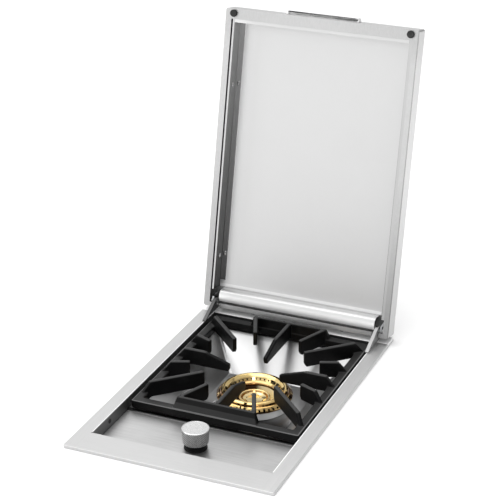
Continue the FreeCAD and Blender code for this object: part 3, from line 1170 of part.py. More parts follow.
def round_nose(doc, sketch, radius, top):
    """Outline with a half round at the rim and straight sides up to a level."""
    size = Values(doc)
    middle = f"({LID_BACK} - Size.nose_start - Size.nose_radius)"
    centre = f"({LID_RIM} + Size.nose_radius + Size.nose_inset)"
    nose = size.nose_radius
    y = size.pivot_setback - size.nose_start - nose
    z = -size.pivot_height + nose + size.nose_inset
    high = size.lid_depth - size.pivot_height - size.liner_skin
    round_end = Part.Circle(Vector(y, z, 0), Vector(0, 0, 1), nose)
    arc = sketch.addGeometry(Part.ArcOfCircle(round_end, math.pi, math.tau))
    left = sketch.addGeometry(Part.LineSegment(Vector(y - nose, high, 0), Vector(y - nose, z, 0)))
    right = sketch.addGeometry(Part.LineSegment(Vector(y + nose, z, 0), Vector(y + nose, high, 0)))
    lid = sketch.addGeometry(Part.LineSegment(Vector(y + nose, high, 0), Vector(y - nose, high, 0)))
    for first, second in ((left, arc), (arc, right), (right, lid), (lid, left)):
        sketch.addConstraint(Sketcher.Constraint("Coincident", first, 2, second, 1))
    sketch.addConstraint(Sketcher.Constraint("Vertical", left))
    sketch.addConstraint(Sketcher.Constraint("Vertical", right))
    sketch.addConstraint(Sketcher.Constraint("Horizontal", lid))
    pin_point(sketch, arc, 3, middle, centre)
    rule = sketch.addConstraint(Sketcher.Constraint("Radius", arc, nose))
    sketch.setExpression(f"Constraints[{rule}]", radius)
    sketch.addConstraint(Sketcher.Constraint("DistanceY", arc, 1, arc, 3, 0.0))
    sketch.addConstraint(Sketcher.Constraint("DistanceY", arc, 2, arc, 3, 0.0))
    rule = sketch.addConstraint(Sketcher.Constraint("DistanceY", -1, 1, lid, 1, high))
    sketch.setExpression(f"Constraints[{rule}]", top)


def make_lid_handle(doc):
    """Edge pull: a folded strip along the middle of the lid's front edge."""
    body = new_body(doc, "lid_handle")
    level, half, sheet = f"{LID_RIM} + Size.handle_level", "Size.handle_length / 2", "Size.handle_sheet"
    outline = new_sketch(body, "pull_outline", "XY_Plane", level)
    rectangle(outline, f"-{half}", half, f"{LID_FRONT} - Size.handle_reach", LID_FRONT)
    extrude(body, "Pad", "pull", outline, "Size.handle_thick")
    front = Values(doc).pivot_setback - Values(doc).lid_length - Values(doc).handle_reach
    round_edges(doc, body, "pull_ends", "Size.handle_round",
                lambda edge: is_upright(edge) and edge.BoundBox.YMax < front + 0.001)
    under = new_sketch(body, "pull_inside", "XY_Plane", level)
    rectangle(under, f"-{half} + Size.handle_round", f"{half} - Size.handle_round",
              f"{LID_FRONT} - Size.handle_reach + {sheet}", f"{LID_FRONT} - {sheet}")
    extrude(body, "Pocket", "finger_hollow", under, f"Size.handle_thick - {sheet}", flip=True)
    seat_on_lid(body)
    return body


def make_lid_bumpers(doc):
    """Rubber bumpers on the lid's front rim."""
    size = Values(doc)
    y = size.pivot_setback - size.lid_length + size.bumper_inset
    height = size.lid_gap - size.fit_gap
    down = Vector(0, 0, -1)
    pads = []
    for side in (-1, 1):
        spot = Vector(side * size.bumper_side, y, -size.pivot_height)
        tip = Part.makeCone(size.bumper_radius, size.bumper_radius - 0.8, 0.8, spot + down * (height - 0.8), down)
        pads.append(cylinder(size.bumper_radius, height - 0.8, spot, down).fuse(tip))
    piece = shape_piece(doc, "lid_bumpers", Part.makeCompound(pads))
    seat_on_lid(piece)
    return piece


def make_hinge_ear(doc, name, side):
    """Ear inside the lid that turns on the hinge pin."""
    body = new_body(doc, name)
    plate = new_sketch(body, "ear_outline", "YZ_Plane", f"{side}Layout.ear_inner")
    polygon(plate, [
        (f"{LID_BACK} - Size.lid_sheet", "-Size.ear_low"),
        (f"{LID_BACK} - Size.lid_sheet", f"{LID_TOP} - Size.lid_sheet"),
        ("-Size.ear_reach", f"{LID_TOP} - Size.lid_sheet"), ("-Size.ear_foot", "-Size.ear_low")])
    extrude(body, "Pad", "plate", plate, "Size.ear_sheet", flip=side == "-")
    hole = new_sketch(body, "ear_bore", "YZ_Plane", f"{side}Layout.ear_inner")
    circle(hole, "0", "0", "Size.pin_radius + Size.pin_play")
    extrude(body, "Pocket", "bore", hole, "Size.ear_sheet * 3", both=True)
    seat_on_lid(body)
    return body


def make_liner_screws(doc):
    """Screws in the liner's side walls and the brackets behind them that join it to the shell."""
    size = Values(doc)
    level = size.liner_screw_level - size.pivot_height
    ceiling = size.lid_depth - size.pivot_height - size.lid_sheet
    wall = size.liner_half + size.liner_sheet
    screws, brackets = [], []
    for side in (-1, 1):
        for setback in (size.liner_screw_low, size.liner_screw_high):
            y = size.pivot_setback - setback
            head = Vector(side * size.liner_half, y, level)
            screws.append(pan_head_screw(size, head, Vector(-side, 0, 0), 6, size.screw_rise))
            wide, sheet, edge = size.bracket_width, size.bracket_sheet, y - size.bracket_width / 2
            leg = Part.makeBox(sheet, wide, ceiling - level + 6, Vector(wall, edge, level - 6))
            foot = Part.makeBox(size.bracket_foot, wide, sheet, Vector(wall, edge, ceiling - sheet))
            hole = cylinder(size.screw_radius, sheet, Vector(wall, y, level), Vector(1, 0, 0))
            bracket = leg.fuse(foot).cut(hole).removeSplitter()
            brackets.append(bracket if side > 0 else bracket.mirror(Vector(), Vector(1, 0, 0)))
    pieces = [shape_piece(doc, "liner_screws", Part.makeCompound(screws)),
              shape_piece(doc, "liner_brackets", Part.makeCompound(brackets))]
    for piece in pieces:
        seat_on_lid(piece)
    return pieces


def make_pieces(doc):
    """Every sub-part of the burner."""
    size = Values(doc)
    pieces = [
        make_top_frame(doc), make_burner_box(doc), make_control_panel(doc), make_burner_pan(doc),
        make_burner_base(doc), make_outer_burner_ring(doc), make_inner_burner_cap(doc), make_burner_support(doc),
        make_support_rails(doc),
        make_mixing_tube(doc, "main_mixing_tube", -size.main_offset, size.main_entry, size.main_tube),
        make_mixing_tube(doc, "simmer_mixing_tube", 0, size.burner_back, size.simmer_tube),
        make_air_shutter(doc, "main_air_shutter", -size.main_offset, size.main_tube),
        make_air_shutter(doc, "simmer_air_shutter", 0, size.simmer_tube),
        make_injector(doc, "main_injector", -size.main_offset, size.knob_back + size.feed_reach),
        make_injector(doc, "simmer_injector", 0, size.knob_back + size.valve_block / 2),
        make_gas_valve(doc), make_valve_stem(doc), make_push_collar(doc), make_knob(doc), make_knob_bezel(doc),
        make_feed_pipe(doc), make_inlet_pipe(doc), make_inlet_fitting(doc), make_inlet_locknut(doc),
        make_trivet(doc), make_trivet_feet(doc),
        make_gusset(doc, "hinge_gusset_left", "-"), make_gusset(doc, "hinge_gusset_right", ""),
        make_lid_shell(doc), make_lid_liner(doc), make_lid_handle(doc), make_lid_bumpers(doc),
        make_hinge_ear(doc, "hinge_ear_left", "-"), make_hinge_ear(doc, "hinge_ear_right", ""),
    ]
    return pieces + make_igniter(doc) + make_hinge_pins(doc) + make_fixed_screws(doc) + make_liner_screws(doc)


def centre_origin(doc, pieces):
    """Moves the origin to the middle of the whole part, front to back."""
    low = min(piece.Shape.optimalBoundingBox().YMin for piece in pieces)
    high = max(piece.Shape.optimalBoundingBox().YMax for piece in pieces)
    cell = [alias for alias, _, _ in SIZES].index("origin_back") + 1
    doc.Size.set(f"B{cell}", str(round((low + high) / 2, 4)))
    doc.recompute()


def check(doc, pieces):
    """Stops where an object failed or a piece has no valid shape."""
    for thing in doc.Objects:
        if "Invalid" in thing.State or "Error" in thing.State:
            raise RuntimeError(f"{thing.Name}: {thing.State}")
    for piece in pieces:
        if piece.Shape.isNull() or not piece.Shape.isValid():
            raise RuntimeError(f"{piece.Label}: no valid shape")


def main():
    """Draws the document, checks it and writes one file for each piece."""
    doc = FreeCAD.newDocument("side_burner")
    make_sheet(doc)
    make_layout(doc)
    pieces = make_pieces(doc)
    doc.recompute()
    centre_origin(doc, pieces)
    check(doc, pieces)
    os.makedirs("parts", exist_ok=True)
    for piece in pieces:
        piece.Shape.exportStep(os.path.join("parts", f"{piece.Label}.step"))
        print(f"{piece.Label}: {len(piece.Shape.Solids)} solid, {piece.Shape.Volume:.0f} mm3")


main()
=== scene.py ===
"""Built in gas side burner in a plain studio, dressed on the frame of its CAD model.

Sizes are in millimetres. Places on the flange are given from the middle of its front edge at the height of
its top face: x to the right, y to the back and z up. The finishes use the same places.
"""

import logging
import math
from collections.abc import Callable, Mapping, Sequence
from dataclasses import dataclass, replace
from enum import Enum
from functools import partial
from typing import ClassVar

import bmesh
import bpy
from mathutils import Matrix, Vector


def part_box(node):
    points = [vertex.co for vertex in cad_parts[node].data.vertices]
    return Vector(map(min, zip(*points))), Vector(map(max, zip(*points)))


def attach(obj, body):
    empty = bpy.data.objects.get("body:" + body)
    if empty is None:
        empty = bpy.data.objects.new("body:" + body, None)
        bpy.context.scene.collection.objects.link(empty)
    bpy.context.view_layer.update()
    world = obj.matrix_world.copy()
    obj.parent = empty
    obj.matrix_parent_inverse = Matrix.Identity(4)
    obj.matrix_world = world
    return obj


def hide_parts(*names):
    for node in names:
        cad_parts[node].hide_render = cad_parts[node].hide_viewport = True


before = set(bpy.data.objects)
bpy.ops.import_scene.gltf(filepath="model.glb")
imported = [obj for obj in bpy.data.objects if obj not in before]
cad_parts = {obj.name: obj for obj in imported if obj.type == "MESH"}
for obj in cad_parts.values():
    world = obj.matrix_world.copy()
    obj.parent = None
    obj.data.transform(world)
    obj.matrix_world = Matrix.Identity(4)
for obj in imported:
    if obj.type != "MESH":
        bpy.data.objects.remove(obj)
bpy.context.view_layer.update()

MM = 0.001
SEAM = 4e-6
FLAT = math.radians(0.5)
UPRIGHT_FACE = 0.9
FLANGE_LOW, FLANGE_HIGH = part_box("top_frame")
BURNER = (0.0, 310.35)
KNOB = (0.0, 97.0)
OPENING_HALF, OPENING_FRONT, OPENING_BACK = 138.0, 46.0, 467.0
UP = Vector((0.0, 0.0, 1.0))

Piece = bpy.types.Object
Colour = tuple[float, float, float]
Scales = tuple[float, float, float]
Pattern = tuple[float | Scales, float, float]

log = logging.getLogger("side_burner")


class Body(Enum):
    """Bodies of the CAD model that pieces ride on."""

    BASE = "base"
    KNOB = "knob"
    COLLAR = "valve_slide"
    TRIVET = "trivet"
    LID = "lid"


class Grain(Enum):
    """Axis along which a surface is brushed."""

    ACROSS = 0
    ALONG = 1
    UPRIGHT = 2

    def lines(self, fine: float = 700.0, long: float = 12.0) -> Pattern:
        """Noise of brush lines along the axis.

        Args:
            fine: Lines to a metre.
            long: Cells to a metre along the lines.

        Returns:
            Scales, octaves and weight of the finer octaves.
        """
        scales = [fine] * 3
        scales[self.value] = long
        return tuple(scales), 4.0, 0.7


def on_flange(x: float, y: float, z: float) -> Vector:
    """Point of the frame, in metres, for a place on the flange in millimetres."""
    return Vector((x * MM, FLANGE_LOW.y + y * MM, FLANGE_HIGH.z + z * MM))


# Shader trees


def operator(operation: str, swapped: bool = False) -> Callable[..., "Signal"]:
    """Method of a signal that adds a Math node.

    Args:
        operation: Operation of the node.
        swapped: Whether the other value comes first.

    Returns:
        The method.
    """

    def method(self: "Signal", other: "Signal | float" = 0.0) -> "Signal":
        """Result of the operation on this and another value."""
        pair = (other, self) if swapped else (self, other)
        return self.graph.add("ShaderNodeMath", dict(enumerate(pair)), operation=operation)

    return method


@dataclass(eq=False)
class Signal:
    """An output of a shader node, on which plain arithmetic adds Math nodes."""

    graph: "Graph"
    socket: bpy.types.NodeSocket

    __add__ = __radd__ = operator("ADD")
    __mul__ = __rmul__ = operator("MULTIPLY")
    __sub__ = operator("SUBTRACT")
    __rsub__ = operator("SUBTRACT", swapped=True)
    __gt__ = operator("GREATER_THAN")
    __lt__ = operator("LESS_THAN")
    __abs__ = operator("ABSOLUTE")
    sine = operator("SINE")
    larger = operator("MAXIMUM")
    bearing = operator("ARCTAN2")

    def swing(self, amount: float) -> "Signal":
        """The value about its middle of a half, scaled."""
        return (self - 0.5) * amount

    def between(self, low: float, high: float) -> "Signal":
        """One where the value lies between two numbers, and zero elsewhere."""
        return (self > low) * (self < high)

    def spread(self, low: float, high: float, start: float = 0.0, end: float = 1.0) -> "Signal":
        """Smooth step of the value from one range to another.

        Args:
            low: Value that gives the start.
            high: Value that gives the end.
            start: Result at and below the low value.
            end: Result at and above the high value.

        Returns:
            The stepped value.
        """
        limits = {"From Min": low, "From Max": high, "To Min": start, "To Max": end}
        return self.graph.add("ShaderNodeMapRange", {"Value": self, **limits},
                              interpolation_type="SMOOTHSTEP")


class Graph:
    """Node tree of a material or the world, filled node by node."""

    def __init__(self, owner: bpy.types.Material | bpy.types.World) -> None:
        """Empties a tree.

        Args:
            owner: Material or world whose tree it is.
        """
        owner.use_nodes = True
        self.tree = owner.node_tree
        self.tree.nodes.clear()

    def add(self, kind: str, inputs: Mapping[str | int, object] | None = None, output: str | int = 0,
            **settings: object) -> Signal | None:
        """Adds a node, with its settings set before its sockets.

        Args:
            kind: Type name of the node.
            inputs: Values or signals of its input sockets.
            output: Output socket to give back.
            settings: Properties of the node.

        Returns:
            The output as a signal, or None where the node has no output.
        """
        node = self.tree.nodes.new(kind)
        for key, setting in settings.items():
            setattr(node, key, setting)
        for key, source in (inputs or {}).items():
            if isinstance(source, Signal):
                self.tree.links.new(source.socket, node.inputs[key])
            else:
                node.inputs[key].default_value = source
        return Signal(self, node.outputs[output]) if len(node.outputs) else None

    def place(self) -> Signal:
        """Place on the piece, in the frame's metres."""
        return self.add("ShaderNodeTexCoord", output="Object")

    def spot(self) -> tuple[Signal, ...]:
        """Place on the flange, in millimetres.

        Returns:
            The distances to the right, to the back and up.
        """
        place, start = self.place(), on_flange(0.0, 0.0, 0.0)
        return tuple((self.add("ShaderNodeSeparateXYZ", {0: place}, name) - origin) * (1.0 / MM)
                     for name, origin in zip("XYZ", start))

    def polar(self, centre: tuple[float, float]) -> tuple[Signal, Signal, Signal]:
        """Place about an upright axis.

        Args:
            centre: Place of the axis on the flange.

        Returns:
            The distance from the axis, the bearing about it and the height over the flange.
        """
        across, along, height = self.spot()
        across, along = across - centre[0], along - centre[1]
        flat = self.add("ShaderNodeCombineXYZ", {"X": across, "Y": along})
        radius = self.add("ShaderNodeVectorMath", {0: flat}, "Value", operation="LENGTH")
        return radius, along.bearing(across), height

    def noise(self, scale: float | Scales, detail: float = 2.0, weight: float = 0.5) -> Signal:
        """Noise over the piece.

        Args:
            scale: Cells to a metre, one number or one for each axis.
            detail: Octaves.
            weight: Weight of the finer octaves.

        Returns:
            The noise, around a half.
        """
        scales = scale if isinstance(scale, tuple) else (scale,) * 3
        stretched = self.add("ShaderNodeMapping", {"Vector": self.place(), "Scale": scales})
        return self.add("ShaderNodeTexNoise",
                        {"Vector": stretched, "Scale": 1.0, "Detail": detail, "Roughness": weight})

    def shade(self, colour: Colour | Signal, amount: Signal | float) -> Signal:
        """Colour scaled by an amount."""
        return self.add("ShaderNodeVectorMath", {0: colour, "Scale": amount}, operation="SCALE")

    def mixed(self, factor: Signal | float, first: Colour | Signal, second: Colour | Signal) -> Signal:
        """Mix of two colours, each a signal or three numbers."""
        first, second = (colour if isinstance(colour, Signal) else (*colour, 1.0)
                         for colour in (first, second))
        return self.add("ShaderNodeMix", {0: factor, 6: first, 7: second}, 2, data_type="RGBA")

    def bump(self, height: Signal, depth: float, strength: float = 1.0) -> Signal:
        """Normal of a height field whose full step has a depth in millimetres."""
        return self.add("ShaderNodeBump", {"Height": height, "Distance": depth * MM, "Strength": strength})

    def end(self, sockets: Mapping[str, object]) -> None:
        """Ends a material's tree in a shader with these sockets."""
        shader = self.add("ShaderNodeBsdfPrincipled", sockets)
        self.add("ShaderNodeOutputMaterial", {"Surface": shader})


# Finishes


def grey(level: float) -> Colour:
    """Neutral colour."""
    return level, level, level


@dataclass(frozen=True)
class Finish:
    """Base of the finishes: a name, the record's slot, a colour and its gloss."""

    name: str
    slot: str
    colour: Colour
    roughness: float
    metallic: float = 1.0
    specular: float = 0.5
    made: ClassVar[dict[str, bpy.types.Material]] = {}

    def surface(self, graph: Graph) -> dict[str, Signal]:
        """Sockets that vary over the surface."""
        raise NotImplementedError

    def material(self) -> bpy.types.Material:
        """Makes the finish's material once.

        Returns:
            The material.
        """
        if self.name not in self.made:
            material = bpy.data.materials.new(self.name)
            graph = Graph(material)
            graph.end({"Metallic": self.metallic, "Specular IOR Level": self.specular, **self.surface(graph)})
            self.made[self.name] = material
        return self.made[self.name]


@dataclass(frozen=True)
class Grained(Finish):
    """Finish with broad stains and a fine grain, each with its shares in tone and gloss."""

    tone: float = 1.0
    stains: float = 9.0
    stain_shares: tuple[float, float] = (0.12, 0.08)
    grain: Pattern = Grain.ACROSS.lines()
    grain_shares: tuple[float, float] = (0.3, 0.12)
    depth: float = 0.004

    def surface(self, graph: Graph) -> dict[str, Signal]:
        """Stains and grain in colour, gloss and height.

        Args:
            graph: Tree of the material.

        Returns:
            The sockets that vary.
        """
        stains, grain = graph.noise(self.stains, 3.0), graph.noise(*self.grain)
        shade, gloss = (start + stains.swing(stained) + grain.swing(grained) for start, stained, grained in
                        zip((self.tone, self.roughness), self.stain_shares, self.grain_shares))
        return {"Base Color": graph.shade(self.colour, shade), "Roughness": gloss,
                "Normal": graph.bump(grain, self.depth)}


@dataclass(frozen=True)
class FlangeSteel(Finish):
    """Brushed flange: the grain follows each strip, with painted shade down the recess and on its back wall,
    and painted light on the folded edge, the rear strip and the right side.
    """

    fold: float = 1.2
    painted_edge_highlight: float = 1.8
    painted_rear_light: float = 1.8
    painted_recess_shade: tuple[float, float] = (0.27, 0.45)
    wall_depth: float = 20.0

    def surface(self, graph: Graph) -> dict[str, Signal]:
        """Grain, painted light and painted shade chosen by the place on the flange.

        Args:
            graph: Tree of the material.

        Returns:
            The sockets that vary.
        """
        across, depth, height = graph.spot()
        front, back = OPENING_FRONT - self.fold, OPENING_BACK + self.fold
        beside = abs(across) > OPENING_HALF + 0.4
        within = depth.between(front, back) * (abs(across) < OPENING_HALF + self.fold)
        below = height < -0.9
        top = graph.noise(*Grain.ACROSS.lines()) * (1.0 - beside) + graph.noise(*Grain.ALONG.lines()) * beside
        lines = top * (1.0 - below) + graph.noise(*Grain.UPRIGHT.lines(900.0)) * below
        inside = within * below
        # Painted highlight on the opening's folded edge, which is also less metallic.
        edge = within * (1.0 - below) * (depth > front + 3.0 * self.fold)
        # Painted light on the rear strip under the lid, which is also less metallic.
        rear = (depth > back) * (1.0 - below)
        # Painted shade: the opening's back wall is darker still.
        rear_wall = inside * (depth > back - 3.0)
        # Painted shade down the recess walls, darker towards the bottom.
        walls = height.spread(-self.wall_depth, 0.0, *self.painted_recess_shade)
        shade = 1.0 + lines.swing(0.24) + graph.noise(11.0, 3.0).swing(0.08)
        shade = shade * (1.0 - inside * (1.0 - walls)) * (1.0 + edge * (self.painted_edge_highlight - 1.0))
        shade = shade * (1.0 + rear * (self.painted_rear_light - 1.0)) * (1.0 - rear_wall * 0.5)
        # Painted light: the right side is lighter.
        shade = shade * across.spread(40.0, 140.0, 1.0, 1.1)
        return {"Base Color": graph.shade(self.colour, shade),
                "Roughness": self.roughness + lines.swing(0.16) + inside * 0.04,
                "Metallic": 1.0 - edge * 0.85 - rear * 0.5, "Normal": graph.bump(lines, 0.005)}


@dataclass(frozen=True)
class PanSteel(Finish):
    """Bright rolled sheet with a haze and fine scratches, with painted deep shade on the floor before the
    burner and on the front ledge, and painted light on the rear ledge.
    """

    floor: float = -56.5
    floor_shade: tuple[float, float] = (255.0, 300.0)
    ledge_level: float = -19.5
    rear_ledge: float = 455.0
    front_ledge: float = 161.0

    def surface(self, graph: Graph) -> dict[str, Signal]:
        """Haze in the gloss, hairlines in height, and painted light and painted shade by place.

        Args:
            graph: Tree of the material.

        Returns:
            The sockets that vary.
        """
        _, depth, height = graph.spot()
        haze, hairs = graph.noise(14.0, 3.0), graph.noise(*Grain.ALONG.lines(1100.0, 9.0))
        # Painted shade on the floor before the burner.
        floor = (height < self.floor) * depth.spread(*self.floor_shade, 0.92, 0.0)
        # Painted light on the rear ledge, which is also less metallic, and painted shade on the front ledge.
        rear = (depth > self.rear_ledge) * (height > self.ledge_level)
        front = (depth < self.front_ledge) * (height > self.ledge_level)
        shade = (1.0 - floor) * (1.0 + rear * 0.7) * (1.0 - front * 0.8)
        return {"Base Color": graph.shade(self.colour, (1.0 + haze.swing(0.08) + hairs.swing(0.06)) * shade),
                "Roughness": self.roughness + haze.swing(0.06) + hairs.swing(0.05),
                "Metallic": 1.0 - rear * 0.6, "Normal": graph.bump(hairs, 0.0012)}


@dataclass(frozen=True)
class LinerSteel(Finish):
    """Lid's liner: a soft gloss and a mirror by its left wall, with painted shade on its walls, lip and left
    side and inside its nose, and painted light on the nose, over the crease and beside the left wall.
    """

    inner_wall: float = 143.0
    outer_wall: float = 143.9
    mirror: float = 133.2
    mirror_foot: float = 42.0
    top: float = 454.5
    nose_top: float = 33.5
    nose_axis: tuple[float, float] = (485.9, 23.2)
    nose_bore: float = 10.1

    def surface(self, graph: Graph) -> dict[str, Signal]:
        """Gloss, painted light and painted shade by the place on the liner.

        Args:
            graph: Tree of the material.

        Returns:
            The sockets that vary.
        """
        across, depth, height = graph.spot()
        side = abs(across)
        haze, hairs = graph.noise(14.0, 3.0), graph.noise(*Grain.UPRIGHT.lines(1100.0, 9.0))
        nose = height.spread(self.nose_top - 2.5, self.nose_top, 1.0, 0.0)
        # Painted highlight on the nose's lower part, which is also less metallic.
        low = height.spread(24.0, 30.5, 1.0, 0.0)
        behind, above = depth - self.nose_axis[0], height - self.nose_axis[1]
        # Painted shade inside the nose's tube.
        bore = (behind * behind + above * above) < self.nose_bore ** 2
        # Painted shade on the inner walls, darker towards the bottom.
        walls = side.between(self.inner_wall, self.outer_wall)
        mirror = across.spread(-self.mirror - 1.0, -self.mirror, 1.0, 0.0) * (1.0 - nose)
        mirror = mirror * (across > -self.inner_wall) * height.between(self.mirror_foot, self.top)
        # Painted light over the crease above the nose.
        crease = (abs(height - (self.nose_top + 0.6)) < 2.4) * (1.0 - walls)
        # Painted shade on the lip.
        lip = side > self.outer_wall
        # Painted light on the panel beside the left wall.
        beside = across.spread(-134.0, -108.0, 0.12, 0.0) * (1.0 - walls)
        # Painted shade, a little darker to the left.
        shade = across.spread(-140.0, 120.0, 0.91, 0.97) + haze.swing(0.05) + hairs.swing(0.06)
        shade = shade * (1.0 - walls * height.spread(0.0, 500.0, 0.85, 0.25)) * (1.0 + low * 0.65)
        shade = shade * (1.0 - bore * 0.96) * (1.0 + crease * 0.25) * (1.0 - lip * 0.15) * (1.0 + beside)
        gloss = self.roughness + nose * 0.12 - mirror * 0.38
        return {"Base Color": graph.shade(self.colour, shade),
                "Roughness": gloss + haze.swing(0.06) + hairs.swing(0.05),
                "Metallic": 1.0 - low * (1.0 - bore) * 0.7, "Normal": graph.bump(hairs, 0.0012)}


@dataclass(frozen=True)
class RimSteel(Grained):
    """Lid's shell, brushed upright, with painted light on its right flank and painted shade at the bend, to
    the left, towards the hinge and near the top.
    """

    flank: float = 158.2
    bend: float = 1.9

    def surface(self, graph: Graph) -> dict[str, Signal]:
        """Brushed steel, with painted light and painted shade by the place on the lid.

        Args:
            graph: Tree of the material.

        Returns:
            The sockets that vary.
        """
        sockets = super().surface(graph)
        across, _, height = graph.spot()
        flank, bend = across > self.flank, across.between(self.flank - self.bend, self.flank)
        # Painted shade to the left, towards the hinge, near the top and at the bend, and painted light on the
        # right flank.
        shade = across.spread(-160.0, 20.0, 0.89, 0.98) * height.spread(50.0, 300.0, 0.8, 1.0)
        shade = shade * height.spread(420.0, 460.0, 1.0, 0.92) * (1.0 - bend * 0.3) * (1.0 + flank * 0.38)
        return {**sockets, "Base Color": graph.shade(sockets["Base Color"], shade)}


@dataclass(frozen=True)
class Galvanised(Finish):
    """Zinc coated sheet with its crystal pattern."""

    def surface(self, graph: Graph) -> dict[str, Signal]:
        """Crystals as cells of slightly different grey.

        Args:
            graph: Tree of the material.

        Returns:
            The sockets that vary.
        """
        cells = graph.add("ShaderNodeTexVoronoi", {"Vector": graph.place(), "Scale": 120.0}, "Color")
        spangle = graph.add("ShaderNodeSeparateXYZ", {0: cells}, "X")
        return {"Base Color": graph.shade(self.colour, 0.92 + spangle * 0.16),
                "Roughness": self.roughness + spangle.swing(0.14), "Normal": graph.bump(spangle, 0.01, 0.4)}


@dataclass(frozen=True)
class CastIron(Finish):
    """Black satin enamel over sand cast iron, its pores softened, with a painted grey highlight on the tops
    of the bars, fingers and front rail.
    """

    dust_and_highlight: Colour = grey(0.14)
    bar_half: float = 119.0
    bar_front: float = 171.0
    bar_back: float = 450.0
    bar_top: float = -3.2
    finger_top: float = 13.4
    rail: tuple[float, float] = (153.0, 162.5)

    def surface(self, graph: Graph) -> dict[str, Signal]:
        """Pores of the casting, dust, and a painted highlight on the tops of the bars, fingers and front
        rail.

        Args:
            graph: Tree of the material.

        Returns:
            The sockets that vary.
        """
        pores, uneven = graph.noise(900.0, 4.0, 0.6), graph.noise(110.0, 2.0)
        dust = graph.noise(35.0, 3.0).spread(0.45, 0.75)
        across, depth, height = graph.spot()
        side = abs(across)
        # Painted highlight on the tops of the bars, most on the outer bars, and on the fingers and front
        # rail.
        bars = (side > self.bar_half).larger(depth < self.bar_front).larger(depth > self.bar_back)
        rim = (side > self.bar_half + 11.5).larger(depth < self.bar_front - 12.2)
        bars = (abs(height - self.bar_top) < 1.2) * bars * (0.15 + rim * 0.85)
        tops = height.spread(self.finger_top - 1.2, self.finger_top) * 0.3
        rail = depth.between(*self.rail) * (height > self.bar_top) * 0.16
        painted_top_highlight = bars.larger(tops).larger(rail) * (0.75 + pores * 0.5)
        # The painted highlight and the dust share one grey.
        return {"Base Color": graph.mixed(painted_top_highlight + dust * 0.03, self.colour, self.dust_and_highlight),
                "Roughness": self.roughness + pores.swing(0.18) + uneven.swing(0.1),
                "Normal": graph.bump(pores * 0.35 + uneven, 0.11)}


@dataclass(frozen=True)
class BurnerBaseAlloy(Finish):
    """Cast base of the burner: grey and streaked outside, with painted light and painted shadow on its wall
    inside the ring.
    """

    drum: float = 50.0
    painted_shadow: Colour = (0.05, 0.022, 0.008)
    painted_lit_wall: Colour = (1.0, 0.88, 0.58)
    lit_wall_bearing: float = 58.0

    def surface(self, graph: Graph) -> dict[str, Signal]:
        """Colour by the distance from the axis and the bearing about it.

        Args:
            graph: Tree of the material.

        Returns:
            The sockets that vary.
        """
        radius, bearing, _ = graph.polar(BURNER)
        pebbles = graph.noise(1300.0, 3.0, 0.6)
        streaks = (bearing * 9.0 + graph.noise(30.0, 2.0) * 3.0).sine() * 0.5 + 0.5
        skin = graph.shade(self.colour, 0.86 + streaks * 0.14 + pebbles.swing(0.12))
        # Painted light on the inner wall towards one bearing, and painted shadow elsewhere.
        painted_lit_wall = (bearing + math.radians(90.0 - self.lit_wall_bearing)).sine().spread(0.6, 0.85)
        inside = graph.mixed(painted_lit_wall, self.painted_shadow, self.painted_lit_wall)
        return {"Base Color": graph.mixed(radius < self.drum, skin, inside),
                "Roughness": self.roughness + pebbles.swing(0.2), "Normal": graph.bump(pebbles, 0.03)}


@dataclass(frozen=True)
class Holes:
    """Equally spaced ports: number, distance from the axis, half width round it and half size across that."""

    count: int
    reach: float
    wide: float
    across: float

    def around(self, bearing: Signal) -> Signal:
        """One at the bearings of the ports, and zero between them."""
        return (bearing * self.count + math.pi / 2).sine() > math.cos(self.count * self.wide / self.reach)


